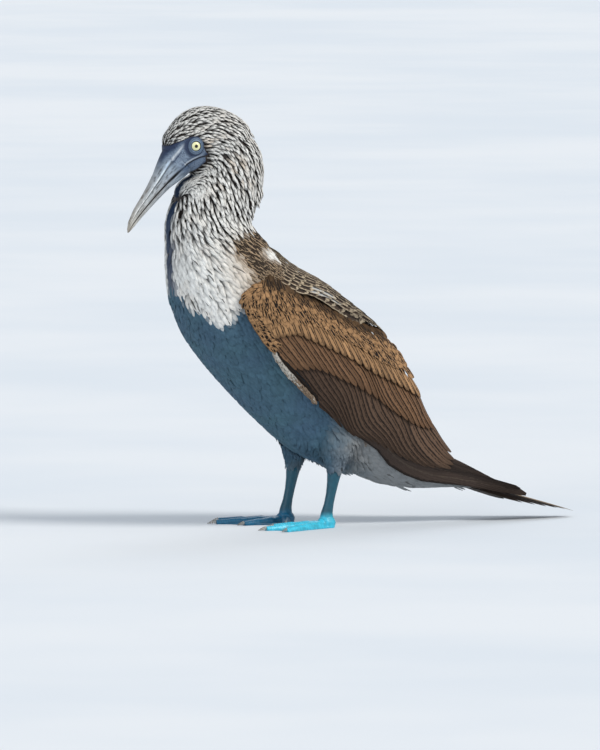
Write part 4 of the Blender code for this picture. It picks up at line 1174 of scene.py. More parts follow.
@dataclass
class Wings:
    """Both folded wings: small coverts over the arm, and tiers of coverts and flight feathers."""

    plan: WingPlan
    finish: bpy.types.Material
    shares: tuple[float, float] = (0.015, 0.985)
    covert_step: float = 0.0042
    primary_count: int = 9
    primary_roots: tuple[float, float] = (0.28, 0.50)
    primary_middles: Pairs = ((-0.030, 0.092), (-0.030, 0.114))
    primary_tips: Pairs = ((0.1968, 0.1235), (0.110, 0.140))
    primary_depths: Pairs = ((0.010, 0.0088), (0.022, 0.0070), (0.070, 0.0056), (0.15, 0.0036))
    margin_share: float = 0.53
    # The line a little inside the wing's front and lower edge, from its upper front corner back.
    edge: Pairs = (
        (-0.2290, 0.1345), (-0.2350, 0.1270), (-0.2385, 0.1160), (-0.2375, 0.1060), (-0.2310, 0.1002),
        (-0.2230, 0.0960), (-0.2120, 0.0918), (-0.2000, 0.0886), (-0.1890, 0.0862), (-0.1790, 0.0855),
        (-0.1690, 0.0890), (-0.1500, 0.0920), (-0.1300, 0.0925), (-0.1120, 0.0918), (-0.0980, 0.0880),
    )
    # The middle of the strip of pale lining below that edge.
    strip: Pairs = (
        (-0.1740, 0.0862), (-0.1650, 0.0836), (-0.1540, 0.0816), (-0.1445, 0.0806), (-0.1350, 0.0806),
        (-0.1255, 0.0808), (-0.1155, 0.0810), (-0.1060, 0.0816), (-0.0990, 0.0814),
    )
    strip_rows: int = 4

    def edge_at(self, t: Array) -> Array:
        """How high the line along the lower edge runs at t."""
        return np.interp(t, *np.array(self.edge)[3:].T)

    def tiers(self) -> list[Tier]:
        """The tiers from the arm out."""
        plan = self.plan
        return [
            Tier(plan.MEDIAN_TIPS, 24, -0.0290, ((-0.025, 0.0018), (-0.009, 0.0001), (0.0, 0.0)), ROUND),
            Tier(plan.GREATER_TIPS, 22, -0.0175, ((-0.012, 0.0040), (-0.003, 0.0025), (0.04, 0.0016))),
            Tier(plan.SECONDARY_TIPS, 21, 0.0090, ((0.013, 0.0066), (0.022, 0.0046), (0.070, 0.0032))),
        ]

    def paths(self, nodes: list[Array], parts: Array) -> Array:
        """Smooth paths through two or three places each, straight in shares of the wing's height.

        Args:
            nodes: the places of the first, any middle, and the last node of every path.
            parts: the shares of the length to read.

        Returns:
            The places, by path and part.
        """
        shared = []
        for node in nodes:
            low, high = self.plan.edges(node[:, 0])
            shared.append(np.stack([node[:, 0], (node[:, 1] - low) / (high - low)], axis=-1)[:, None])
        part = parts[None, :, None]
        if len(shared) == 2:
            found = shared[0] + (shared[1] - shared[0]) * part
        else:
            found = (1 - part) ** 2 * shared[0] + 2 * part * (1 - part) * shared[1] + part**2 * shared[2]
        low, high = self.plan.edges(found[..., 0])
        return np.stack([found[..., 0], low + (high - low) * found[..., 1]], axis=-1)

    def vanes(self, nodes: list[Array], tier: Tier) -> Array:
        """The upper faces of a tier's vanes, each tucked under the next.

        Args:
            nodes: places that the paths pass through, one row more than there are vanes.
            tier: the tier.

        Returns:
            The corners of the upper faces.
        """
        form = tier.form
        parts = form.along()
        centre = self.paths(nodes, parts)
        run = self.paths(nodes, np.minimum(parts + 0.02, 1)) - self.paths(nodes, np.maximum(parts - 0.02, 0))
        across = quarter_turn(unit(run))[:-1]
        offset = ((centre[1:] - centre[:-1]) * across).sum(-1)
        step = np.maximum(np.abs(offset), tier.least)
        full = step * tier.overlap
        half = full / 2 * form.widths_along()[None]
        shift = form.across() * half[..., None]
        places = centre[:-1, :, None] + across[:, :, None] * (shift * np.sign(offset)[..., None])[..., None]
        lowest = np.where(places[..., 0] < -0.09, self.edge_at(places[..., 0]) - 0.003, -1.0)
        places[..., 1] = np.maximum(places[..., 1], lowest)
        depth = np.interp(self.plan.beyond_tips(places), *zip(*tier.depths))
        depth = depth + tier.pitch * (shift + full[..., None] / 2) / step[..., None]
        depth = depth - form.rises() * half[..., None] * 0.5
        return self.plan.under(places[..., 0], places[..., 1], depth)

    @staticmethod
    def spread(roots: Array, runs: Array, length: Array, width: Array, form: VaneForm) -> tuple[Array, Array]:
        """Small feathers laid flat on the wing's face.

        Args:
            roots: the places of their roots.
            runs: their directions.
            length: their lengths.
            width: their full widths.
            form: their form.

        Returns:
            The places of their corners, and their half width at each station.
        """
        centre = roots[:, None] + runs[:, None] * (form.along() * length[:, None])[..., None]
        half = (width[:, None] / 2 * form.widths_along()[None])[..., None]
        beside = quarter_turn(runs)[:, None, None]
        return centre[:, :, None] + beside * (form.across() * half)[..., None], half

    def small_coverts(self, rng: np.random.Generator) -> tuple[Array, Array]:
        """Small coverts over the arm, in staggered rows.

        Args:
            rng: the source of chance.

        Returns:
            The corners of their upper faces, and their roots' places.
        """
        plan = self.plan
        lean = sum(plan.FEATHER_ANGLES) / 2
        run = np.array([math.cos(lean), -math.sin(lean)])
        row, column = np.meshgrid(np.arange(-60, 60), np.arange(-60, 60))
        along, across = row * self.covert_step, (column + 0.5 * (row % 2)) * self.covert_step * 0.86
        roots = np.array([-0.10, 0.15]) + along[..., None] * run + across[..., None] * quarter_turn(run)
        roots = roots.reshape(-1, 2)
        roots = roots + rng.normal(0, 0.0006, roots.shape)
        t, n = roots.T
        inside = (t > plan.STATIONS.rows[0, 0] + 0.005) & (t < 0.045) & (plan.beyond_tips(roots) < -0.021)
        # They end a little below the wing's upper edge, or under the shoulder feathers where those go on.
        top = plan.edges(t)[1] - 0.0035 * blend(-0.05, -0.03, t) - 0.0020
        top = np.where(t < Mantle.EDGE[-1][0], np.maximum(top, Mantle.edge_at(t) + 0.0006), top)
        roots = roots[inside & (n > self.edge_at(t) + 0.0025) & (n < top)]
        angle = np.interp(roots[:, 0], [-0.23, -0.05], plan.FEATHER_ANGLES) + rng.normal(0, 0.13, len(roots))
        angle = angle + 0.5 * blend(-0.20, -0.24, roots[:, 0])
        runs = np.stack([np.cos(angle), -np.sin(angle)], axis=-1)
        length, width = rng.normal(0.0110, 0.0010, len(roots)), rng.normal(0.0050, 0.0004, len(roots))
        places, half = self.spread(roots, runs, length, width, ROUND)
        places[..., 1] = np.maximum(places[..., 1], self.edge_at(places[..., 0]) + 0.0004)
        depth = np.interp(ROUND.along(), [0, 0.3, 1], [0.0026, 0.0012, 0.0001])[None, :, None]
        depth = depth + rng.normal(0, 0.00012, len(roots))[:, None, None] - ROUND.rises() * half * 0.8
        return plan.under(places[..., 0], places[..., 1], depth), roots

    def margin(self, rng: np.random.Generator) -> tuple[Array, Array]:
        """Small coverts in rows along the wing's front and lower edge.

        Args:
            rng: the source of chance.

        Returns:
            The corners of their upper faces, and their roots' places.
        """
        line = smooth_line(self.edge, 500)
        reach = np.concatenate([[0], np.cumsum(np.hypot(*np.diff(line, axis=0).T))])
        run = unit(np.gradient(line, axis=0))
        roots, runs, ranks = [], [], []
        for rank in range(3):
            at = np.arange(0.0018 * (rank % 2), self.margin_share * reach[-1], 0.0036)
            columns = [np.interp(at, reach, part[:, k]) for part in (line, run) for k in (0, 1)]
            place, along = np.stack(columns[:2], axis=1), np.stack(columns[2:], axis=1)
            inward = quarter_turn(along)
            lean = 0.10 + 0.16 * rank
            roots.append(place + inward * (0.0010 + 0.0030 * rank))
            runs.append(unit(along * math.cos(lean) + inward * math.sin(lean)))
            ranks.append(np.full(len(at), float(rank)))
        roots, runs, ranks = np.concatenate(roots), np.concatenate(runs), np.concatenate(ranks)
        runs = unit(runs + rng.normal(0, 0.05, runs.shape))
        length, width = rng.normal(0.0105, 0.0008, len(roots)), rng.normal(0.0052, 0.0004, len(roots))
        places, half = self.spread(roots, runs, length, width, ROUND)
        depth = np.interp(ROUND.along(), [0, 0.35, 1], [0.0020, 0.0006, -0.0003])[None, :, None]
        depth = depth + 0.0002 * ranks[:, None, None] - ROUND.rises() * half * 0.8
        return self.plan.under(places[..., 0], places[..., 1], depth), roots

    def lining(self, rng: np.random.Generator) -> tuple[Array, Array, Array, Array]:
        """Pale small feathers that show under the front of the wing's lower edge, over a dark row of painted
        shadow.

        Args:
            rng: the source of chance.

        Returns:
            The corners of their upper faces, their roots' places, whether each is in the dark row, and their
            shares of the way back.
        """
        line = smooth_line(self.strip, 52)
        run = unit(np.gradient(line, axis=0))
        across = quarter_turn(run)
        share = np.linspace(0, 1, len(line))
        half_width = np.interp(share, [0, 0.1, 0.4, 0.8, 1], [0.0009, 0.0014, 0.0024, 0.0020, 0.0014])
        roots, runs = [], []
        for row in range(self.strip_rows + 1):
            place, lean = (2.2, 0.05) if row == self.strip_rows else (1 - row / 2, 0.22)
            beside = across * (half_width * place + 0.0008)[:, None]
            roots.append(line + beside + rng.normal(0, 0.0003, line.shape))
            runs.append(unit(run - across * lean))
        roots, runs = np.concatenate(roots), np.concatenate(runs)
        rows = np.repeat(np.arange(self.strip_rows + 1), len(line))
        # The last row is the dark row, painted as the shadow under the wing's edge.
        dark = rows == self.strip_rows
        length, width = rng.normal(0.0062, 0.0008, len(roots)), 0.0024 * np.where(dark, 1.7, 1.0)
        places, half = self.spread(roots, runs, length, width, SOFT)
        depth = 0.0012 + 0.0003 * rows[:, None, None] - SOFT.rises() * half - 0.0006 * SOFT.along()[:, None]
        shares = np.tile(share, len(rows) // len(line))
        return self.plan.under(places[..., 0], places[..., 1], depth), roots, dark, shares

    def closed(self, side: Side, top: Array, form: VaneForm, roots: Array, looks: Looks) -> Blades:
        """Feathers on one side of the bird, facing out.

        Args:
            side: the side of the bird.
            top: the corners of their upper faces on the left wing.
            form: their form.
            roots: the places of their roots.
            looks: their colours.

        Returns:
            The feathers.
        """
        shown = top * np.array([side.value, 1, 1])
        if side is Side.LEFT:
            shown = shown[:, :, ::-1]
        return Blades.assemble(shown, form, self.plan.unwrap(roots), looks)

    def lots(self, side: Side, rng: np.random.Generator) -> tuple[list[Blades], list[Blades]]:
        """All feathers of a wing.

        Args:
            side: the side of the bird.
            rng: the source of chance.

        Returns:
            The coverts, and the flight feathers.
        """
        plan, looks = self.plan, WingLooks(rng)
        coverts, flight = [], []
        for build in (self.small_coverts, self.margin):
            top, roots = build(rng)
            coverts.append(self.closed(side, top, ROUND, roots, looks.small(roots)))
        top, roots, dark, share = self.lining(rng)
        coverts.append(self.closed(side, top, SOFT, roots, looks.lining(dark, share)))
        first, last = self.shares
        for tier, build, lot in zip(
            self.tiers(), (looks.median, looks.greater, looks.secondary), (coverts, coverts, flight)
        ):
            shares = first + (last - first) * np.arange(tier.count + 1) / tier.count
            nodes = [plan.arm_place(shares, tier.behind), plan.along_line(tier.tips, shares)]
            top = self.vanes(nodes, tier)
            lot.append(self.closed(side, top, tier.form, nodes[0][:-1], build(tier.count)))
        share = (np.arange(self.primary_count + 1) / self.primary_count)[:, None]
        roots = self.primary_roots[0] + (self.primary_roots[1] - self.primary_roots[0]) * share[:, 0]
        nodes = [plan.arm_place(roots, 0.012)]
        for start, end in (np.array(self.primary_middles), np.array(self.primary_tips)):
            nodes.append(start + (end - start) * share)
        primaries = Tier(
            nodes[-1], self.primary_count, 0.012, self.primary_depths, FLIGHT, 2.2, 0.0005, 0.0048
        )
        top = self.vanes(nodes, primaries)
        flight.append(self.closed(side, top, FLIGHT, nodes[0][:-1], looks.primary(self.primary_count)))
        return coverts, flight

    def build(self) -> None:
        """Builds both wings."""
        for side in Side:
            coverts, flight = self.lots(side, np.random.default_rng(70 + side.value))
            made = Blades.object_of(f"wing_coverts_{side.label}", coverts, self.finish)
            dress(made, [f"wing_{side.label}"])
            made = Blades.object_of(f"flight_feathers_{side.label}", flight, self.finish)
            dress(made, [])


@dataclass
class WingLooks:
    """Colours of the wing's feathers, with chance from one source."""

    rng: np.random.Generator
    tan: Colour = (0.262, 0.148, 0.070)
    dark: Colour = (0.012, 0.008, 0.006)

    def varied(self, colour: Colour | Array, count: int, amount: float) -> Array:
        """A colour for each feather, lighter or darker by chance."""
        shade = 1 + self.rng.normal(0, amount, count)
        return four(np.array(colour)[None] * shade[:, None].clip(0.5, 1.5))

    def small(self, roots: Array) -> Looks:
        """Small coverts: tan with black specks, and shaded below the shoulder feathers.

        Args:
            roots: the places of their roots.

        Returns:
            The looks.
        """
        count = len(roots)
        specks = np.where(self.rng.random(count) < 0.55, 1.0, 0.15)
        tone = self.varied(np.array(self.tan) * 1.7, count, 0.10)
        shadow = blend(0.013, 0.001, Mantle.edge_at(roots[:, 0]) - roots[:, 1])[:, None]
        tone[:, :3] *= 1 - 0.75 * shadow * blend(-0.066, -0.080, roots[:, :1])
        width = self.rng.uniform(0.30, 0.55, count)
        form = np.stack([width, np.full(count, 0.71), np.full(count, 0.7), np.ones(count)], axis=1)
        return Looks.of(count, tone, four(np.tile(self.dark, (count, 1)), specks), (*self.dark, 0.7), form)

    def lining(self, dark: Array, share: Array) -> Looks:
        """Feathers under the wing's edge: cream, turning brown towards the rear, over a dark row of painted
        shadow.

        Args:
            dark: whether each is in the dark row, painted as shadow.
            share: how far back each lies.

        Returns:
            The looks.
        """
        count = len(share)
        brown = np.where(self.rng.random(count) < 0.12 + 0.75 * blend(0.35, 0.75, share), 0.8, 0.0)[:, None]
        tone = mix(np.array((0.74, 0.69, 0.61)), np.array(self.tan) * 1.1, brown)
        # The dark row is painted shadow under the wing's edge.
        tone[dark] = np.array(self.dark) * 1.5
        streak = np.where(self.rng.random(count) < 0.3, 0.9, 0.1)
        mark = four(np.tile(self.dark, (count, 1)), streak)
        return Looks.of(count, four(tone), mark, (*self.dark, 0.5), (0.45, 0.75, 0.5, 1))

    def median(self, count: int) -> Looks:
        """Median coverts: tan with a fine dark shaft."""
        tone = self.varied(np.array(self.tan) * 1.3, count, 0.12)
        return Looks.of(count, tone, (*self.dark, 0.9), (*self.dark, 0.85), (0.16, 0.74, 0.6, 1))

    def greater(self, count: int) -> Looks:
        """Greater coverts: tan-brown with dark edges."""
        tone = self.varied((0.165, 0.088, 0.045), count, 0.1)
        return Looks.of(count, tone, (*self.dark, 0.8), (*self.dark, 0.95), (0.11, 0.70, 0.3, 1))

    def secondary(self, count: int) -> Looks:
        """Secondaries: brown, darkest low on the wing.

        Args:
            count: how many there are.

        Returns:
            The looks.
        """
        share = np.linspace(0, 1, count)[:, None] ** 0.7
        tone = mix(np.array((0.040, 0.024, 0.016)), np.array((0.120, 0.072, 0.046)), share)
        tone = four(tone * (1 + self.rng.normal(0, 0.1, (count, 1))))
        return Looks.of(count, tone, (*self.dark, 0.75), (*self.dark, 0.95), (0.11, 0.68, 0.3, 1))

    def primary(self, count: int) -> Looks:
        """Primaries: nearly black brown."""
        tone = self.varied((0.040, 0.027, 0.021), count, 0.15)
        return Looks.of(count, tone, (0.10, 0.075, 0.055, 0.5), (*self.dark, 0.9), (0.08, 0.72, 0.3, 1))


# Shoulders and tail


@dataclass
class Mantle:
    """The long shoulder feathers over the back."""

    finish: bpy.types.Material
    stations: SmoothTable = field(
        default_factory=lambda: SmoothTable(
            [
                (-0.238, 0.1815, 0.030, 0.1640),
                (-0.225, 0.1840, 0.042, 0.1570),
                (-0.200, 0.1875, 0.050, 0.1590),
                (-0.163, 0.1985, 0.050, 0.1740),
                (-0.127, 0.2050, 0.044, 0.1840),
                (-0.095, 0.2092, 0.036, 0.1955),
                (-0.077, 0.2102, 0.030, 0.2005),
                (-0.058, 0.2088, 0.024, 0.2015),
            ]
        )
    )
    on_wing: float = 0.0022
    ranks: int = 11
    counts: tuple[int, int] = (27, 10)
    roots: tuple[float, float] = (-0.2370, -0.142)
    lengths: tuple[float, float] = (0.018, 0.078)
    # Where its lower edge lies on the wing, by place along the body.
    EDGE = (
        (-0.2420, 0.1330), (-0.2335, 0.1455), (-0.2015, 0.1595), (-0.1635, 0.1745),
        (-0.1275, 0.1850), (-0.0950, 0.1985), (-0.0850, 0.2040), (-0.0725, 0.2085),
    )

    @staticmethod
    def edge_at(t: Array) -> Array:
        """How high on the wing the shoulder feathers end."""
        return np.interp(t, *zip(*Mantle.EDGE))

    def face(self, t: Array, across: Array) -> Array:
        """Points of the shoulders' outer face, which lies on the wings at its sides.

        Args:
            t: distances back along the body.
            across: distances to the left, before the wings hold them in.

        Returns:
            The points.
        """
        rows = self.stations.at(t)
        top, half_width, edge = rows[..., 1], rows[..., 2], rows[..., 3]
        n = top - (top - edge) * (across / half_width) ** 2
        wing = WingPlan.STATIONS.at(t)
        low, high = wing[..., 1], wing[..., 2]
        share = np.clip((n - low) / (high - low), WingPlan.WIDEST, 1)
        past = ((share - WingPlan.WIDEST) / (1 - WingPlan.WIDEST)) ** 2
        rest = wing[..., 4] - (wing[..., 4] - wing[..., 5]) * past + self.on_wing
        return body_points(t, n, np.sign(across) * np.minimum(np.abs(across), rest))

    def under(self, t: Array, across: Array, depth: Array) -> Array:
        """Points under that face.

        Args:
            t: distances back along the body.
            across: distances to the left.
            depth: how far under the face they lie.

        Returns:
            The points.
        """
        t, across, depth = np.broadcast_arrays(t, across, depth)
        step = 0.001
        along = self.face(t + step, across) - self.face(t - step, across)
        beside = self.face(t, across + step) - self.face(t, across - step)
        return self.face(t, across) + unit(np.cross(along, beside)) * depth[..., None]

    def lots(self, rng: np.random.Generator) -> list[Blades]:
        """The tiers of shoulder feathers.

        Args:
            rng: the source of chance.

        Returns:
            One lot a tier.
        """
        found = []
        for rank in range(self.ranks):
            late = rank / (self.ranks - 1)
            form = ROUND if late < 0.7 else FLIGHT
            half_count = round((self.counts[0] + (self.counts[1] - self.counts[0]) * late**0.8) / 2)
            count, reach = 2 * half_count + 1, 0.99 - 0.07 * late**2
            root = self.roots[0] + (self.roots[1] - self.roots[0]) * late
            length = self.lengths[0] + (self.lengths[1] - self.lengths[0]) * late**1.5
            depths = ((root, 0.0008 + 0.0042 * late), (root + 0.4 * length, 0.0004 + 0.0026 * late))
            depths += ((root + length, -0.0002 + 0.0014 * late),)
            order = np.arange(-half_count, half_count + 1)
            share = np.abs(order) / half_count
            trim = (0.002 + 0.032 * late) * share**2
            end = root + length - trim + rng.normal(0, 0.0010 + 0.0015 * late, count)
            along = form.along()
            t = root + (end - root)[:, None] * along[None]
            half_width = self.stations.at(t)[..., 2]
            spread = (order / half_count)[:, None] * reach * half_width
            step = reach * half_width / half_count
            half = step * 1.55 / 2 * form.widths_along()[None]
            across = spread[..., None] + form.across() * half[..., None]
            depth = np.interp(t, *zip(*depths))[..., None]
            inward = np.sign(order)[:, None, None]
            tuck = 0.0007 * (1 - inward * form.across() * form.widths_along()[None, :, None]) * np.abs(inward)
            depth = depth + tuck - form.rises() * half[..., None] * 0.7
            top = self.under(t[..., None] + 0 * across, across, depth)
            roots = np.stack([t[:, 0] * 2 + 0.6, spread[:, 0] * 4 + 0.5], axis=-1)
            found.append(Blades.assemble(top[:, :, ::-1], form, roots, self.looks(late, count, rng)))
        return found

    def looks(self, late: float, count: int, rng: np.random.Generator) -> Looks:
        """Dark brown feathers with pale edges, and a few grey-white ones low on the shoulders.

        Args:
            late: how far back the tier lies, from 0 to 1.
            count: how many feathers it has.
            rng: the source of chance.

        Returns:
            The looks.
        """
        first, last = np.array((0.070, 0.043, 0.026)), np.array((0.075, 0.052, 0.038))
        shade = (1 + rng.normal(0, 0.2, (count, 1))).clip(0.6, 1.5)
        tone = np.tile(mix(first, last, late), (count, 1)) * shade
        side = np.abs(np.linspace(-1, 1, count))
        tone[(np.abs(side - 0.84) < 0.10) & (0.45 < late < 0.75)] = (0.46, 0.46, 0.45)
        rim = (0.58, 0.47, 0.33, 0.95 - 0.20 * late)
        form = (0.36, 0.72 + 0.10 * late, 0.9, 1)
        return Looks.of(count, four(tone), (0.012, 0.008, 0.006, 0.85), rim, form)

    def build(self) -> None:
        """Builds the shoulder feathers."""
        made = Blades.object_of("shoulder_feathers", self.lots(np.random.default_rng(81)), self.finish)
        dress(made, ["mantle"])


@dataclass
class Tail:
    """Six pairs of tail feathers."""

    finish: bpy.types.Material
    # Each pair from the middle out: x at the root, and t and x at the tip.
    feathers: tuple[tuple[float, float, float], ...] = (
        (0.0072, 0.262, 0.0040),
        (0.0090, 0.249, 0.0090),
        (0.0108, 0.236, 0.0140),
        (0.0125, 0.222, 0.0185),
        (0.0140, 0.207, 0.0225),
        (0.0152, 0.190, 0.0262),
    )
    widths: Pairs = ((0, 0.7), (0.4, 1.0), (0.75, 0.95), (0.90, 0.66), (0.97, 0.36), (1.0, 0.06))
    # Where the roots lie, how high the tail's middle stands, and how steeply its two halves fall away.
    root: float = 0.128
    level: float = 0.122
    roof: float = 3.0
    pitch: float = 0.00105
    half_width: float = 0.0080

    def lots(self, rng: np.random.Generator) -> list[Blades]:
        """All tail feathers.

        Args:
            rng: the source of chance.

        Returns:
            One lot.
        """
        form = VaneForm(self.widths, 20, FLIGHT.section)
        along = form.along()
        half = (self.half_width * form.widths_along())[:, None]
        faces, roots, tones = [], [], []
        for layer, (x_root, end, x_tip) in enumerate(self.feathers):
            for side in (-1, 1):
                t = self.root + (end - self.root) * along
                centre = side * (x_root + (x_tip - x_root) * along)
                across = centre[:, None] + form.across()[None] * half
                least = side * (0.0003 + 0.0008 * layer)
                if layer:
                    across = np.where(side * (across - least) < 0, least, across)
                depth = layer * self.pitch + 0.0004 * (side > 0 and layer == 0)
                depth = depth - form.rises()[None] * half * 0.7
                faces.append(body_points(t[:, None], self.level - self.roof * across**2 - depth, across))
                roots.append((0.1 + layer * 0.12, 0.4 + side * 0.1))
                tones.append((0.030, 0.021, 0.017) if layer else (0.20, 0.125, 0.075))
        count = len(faces)
        tones = four(np.array(tones) * (1 + rng.normal(0, 0.08, (count, 3))))
        mark, rim = (0.35, 0.27, 0.18, 0.55), (0.012, 0.009, 0.008, 0.7)
        looks = Looks.of(count, tones, mark, rim, (0.08, 0.80, 0.2, 1))
        return [Blades.assemble(np.stack(faces)[:, :, ::-1], form, np.array(roots), looks)]

    def build(self) -> None:
        """Builds the tail."""
        made = Blades.object_of("tail_feathers", self.lots(np.random.default_rng(91)), self.finish)
        dress(made, ["tail"])


# Skin


@dataclass
class Skin:
    """One skin over head, neck, body, thighs, shoulders and the folded arms, inside the coat."""

    finish: bpy.types.Material
    plan: WingPlan
    mantle: Mantle
    lie: Lie
    voxel: float = 0.0016
    # Depths under the coverts by distance behind their tips, under the shoulder feathers by place along the
    # body, and inside the solids by distance along the body's line.
    arm_depths: Pairs = ((-0.03, 0.0026), (-0.018, 0.0030), (-0.004, 0.0052), (0.02, 0.0095), (0.05, 0.0110))
    shoulder_depths: Pairs = (
        (-0.215, 0.0026), (-0.19, 0.0034), (-0.16, 0.0050), (-0.13, 0.0068), (-0.09, 0.0085),
    )
    coat_depths: Pairs = (
        (0.0, 0.0008), (0.05, 0.0014), (0.10, 0.0022), (0.18, 0.0030), (0.30, 0.0032), (0.60, 0.0030),
    )

    def core(self, grid: Array) -> bmesh.types.BMesh:
        """A closed solid through rings of points.

        Args:
            grid: the points, ring by ring.

        Returns:
            The solid.
        """
        shape = bmesh.new()
        rings = [[shape.verts.new(point) for point in ring] for ring in grid.tolist()]
        for first, second in zip(rings, rings[1:]):
            for k in range(len(first)):
                shape.faces.new((first[k], first[k - 1], second[k - 1], second[k]))
        shape.faces.new(rings[0])
        shape.faces.new(rings[-1][::-1])
        bmesh.ops.recalc_face_normals(shape, faces=shape.faces)
        return shape

    def arm(self, side: Side) -> bmesh.types.BMesh:
        """The folded arm under the coverts.

        Args:
            side: the side of the bird.

        Returns:
            Its solid.
        """
        t = np.linspace(-0.236, 0.045, 40)[:, None]
        low, high = self.plan.edges(t)
        n = low + (high - low) * np.linspace(0.09, 0.94, 16)[None]
        beyond = self.plan.beyond_tips(np.stack(np.broadcast_arrays(t, n), axis=-1))
        depth = np.interp(beyond, *zip(*self.arm_depths))
        outer, inner = self.plan.under(t, n, depth), self.plan.under(t, n, depth + 0.006)
        return self.core(np.concatenate([outer, inner[:, ::-1]], axis=1) * np.array([side.value, 1, 1]))

    def shoulders(self) -> bmesh.types.BMesh:
        """The pad under the shoulder feathers.

        Returns:
            Its solid.
        """
        t = np.linspace(-0.234, -0.085, 24)[:, None]
        across = self.mantle.stations.at(t)[..., 2] * 0.94 * np.linspace(-1, 1, 17)[None]
        depth = np.interp(t, *zip(*self.shoulder_depths))
        outer, inner = self.mantle.under(t, across, depth), self.mantle.under(t, across * 0.95, depth + 0.010)
        return self.core(np.concatenate([outer, inner[:, ::-1]], axis=1))

    def depth(self, points: Array) -> Array:
        """How far the skin lies inside the solids: least on the bare face and most at the nape.

        Args:
            points: points of the solids.

        Returns:
            A depth for each.
        """
        reach, _ = self.lie.place(points)
        depth = np.interp(reach, *zip(*self.coat_depths))
        forward, up, _ = into_head(points)
        rear = blend(-0.015, -0.034, forward) * blend(-0.12, -0.09, up)
        depth = depth + 0.0022 * np.maximum(blend(0.008, 0.024, up), rear)
        nape = ((forward + 0.036) ** 2 + (up + 0.079) ** 2) / 0.020**2
        return (depth + 0.0032 * np.exp(-nape)) * (1 - 0.85 * bare_face(points))

    def refine(self, mesh: bpy.types.Mesh) -> None:
        """Divides the mesh finely over the bare face.

        Args:
            mesh: the skin's mesh.
        """
        shape = bmesh.new()
        shape.from_mesh(mesh)
        for _ in range(2):
            places = np.array([vertex.co[:] for vertex in shape.verts])
            near = bare_face(places) > 0.01
            edges = [edge for edge in shape.edges if near[edge.verts[0].index] or near[edge.verts[1].index]]
            bmesh.ops.subdivide_edges(shape, edges=edges, cuts=1, use_grid_fill=True, smooth=0.6)
            shape.verts.index_update()
        bmesh.ops.triangulate(shape, faces=[face for face in shape.faces if len(face.verts) > 4])
        shape.to_mesh(mesh)
        shape.free()

    def build(self) -> bpy.types.Object:
        """Builds the skin.

        Returns:
            The skin.
        """
        shape = bmesh.new()
        for name in ("head", "neck", "torso", "thigh_left", "thigh_right"):
            shape.from_mesh(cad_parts[name].data)
        stub = self.core(Bill(self.finish).rings_of(np.linspace(-0.004, 0.007, 8), 0.96))
        for extra in (self.arm(Side.LEFT), self.arm(Side.RIGHT), self.shoulders(), stub):
            mesh = bpy.data.meshes.new("extra")
            extra.to_mesh(mesh)
            extra.free()
            shape.from_mesh(mesh)
            bpy.data.meshes.remove(mesh)
        for side in Side:
            place = eye_matrix(side) @ Matrix.Translation((0, 0, -EYE_DEPTH))
            inner = EYE_RADIUS - 0.0010
            bmesh.ops.create_uvsphere(shape, u_segments=24, v_segments=16, radius=inner, matrix=place)
        made = piece_of("skin", shape)
        apply_modifier(made, "REMESH", mode="VOXEL", voxel_size=self.voxel)
        apply_modifier(made, "SMOOTH", factor=0.6, iterations=6)
        self.refine(made.data)
        points, normals = vectors_of(made.data.vertices, "co"), vectors_of(made.data.vertices, "normal")
        points = points - normals * (self.depth(points) + 0.0005 * mouth_line(points))[:, None]
        settle(made.data, self.finish, points, skin_colours(points, self.lie))
        dress(made, ["torso", "neck", "head", "thigh_left", "thigh_right"])
        return made


# The line where the feathers begin on the side of the face, forward and up in the head frame, from the top
# of the bill round behind the eye and the corner of the mouth to the chin.
FACE_LINE = np.array(
    [
        (0.0900, 0.0100), (0.0728, 0.0005), (0.0649, 0.0003), (0.0538, 0.0065), (0.0423, 0.0108),
        (0.0340, 0.0080), (0.0300, 0.0010), (0.0255, -0.0065), (0.0229, -0.0085), (0.0258, -0.0105),
        (0.0242, -0.0171), (0.0409, -0.0334), (0.0521, -0.0412), (0.0900, -0.0700),
    ]
)

# The line of the mouth over the bare face, forward and up in the head frame, from the bill to its corner.
MOUTH_LINE = np.array(
    [
        (0.0475, -0.0213), (0.0445, -0.0187), (0.0390, -0.0150),
        (0.0320, -0.0120), (0.0250, -0.0105), (0.0225, -0.0100),
    ]
)


def line_distance(forward: Array, up: Array, corners: Array) -> Array:
    """How far places of the head frame lie from a line.

    Args:
        forward: distances towards the bill.
        up: distances up.
        corners: the line's corners.

    Returns:
        A distance for each place.
    """
    distance = np.full(forward.shape, 1.0)
    for (f0, u0), (f1, u1) in zip(corners, corners[1:]):
        run = np.array([f1 - f0, u1 - u0])
        share = np.clip(((forward - f0) * run[0] + (up - u0) * run[1]) / (run @ run), 0, 1)
        distance = np.minimum(distance, np.hypot(forward - f0 - share * run[0], up - u0 - share * run[1]))
    return distance


def bare_face(points: Array) -> Array:
    """How far points lie on the bare face.

    Args:
        points: points of the part's frame.

    Returns:
        A value from 0 to 1 for each.
    """
    forward, up, _ = into_head(points)
    corners = np.concatenate([FACE_LINE, FACE_LINE[:1]])
    inside = np.zeros(forward.shape, bool)
    for (f0, u0), (f1, u1) in zip(corners, corners[1:]):
        inside ^= ((u0 > up) != (u1 > up)) & (forward < (f1 - f0) * (up - u0) / (u1 - u0 + 1e-12) + f0)
    distance = line_distance(forward, up, corners)
    return blend(-0.0006, 0.0006, np.where(inside, distance, -distance))


def bill_place(points: Array) -> tuple[Array, Array]:
    """Where points lie beside the bill.

    Args:
        points: points of the part's frame.

    Returns:
        The distances out along the bill from its base, and up across it.
    """
    forward, up, _ = into_head(points)
    run, rise = math.cos(BILL_PITCH), math.sin(BILL_PITCH)
    ahead, above = forward - BILL_BASE[0], up - BILL_BASE[1]
    return ahead * run - above * rise, ahead * rise + above * run


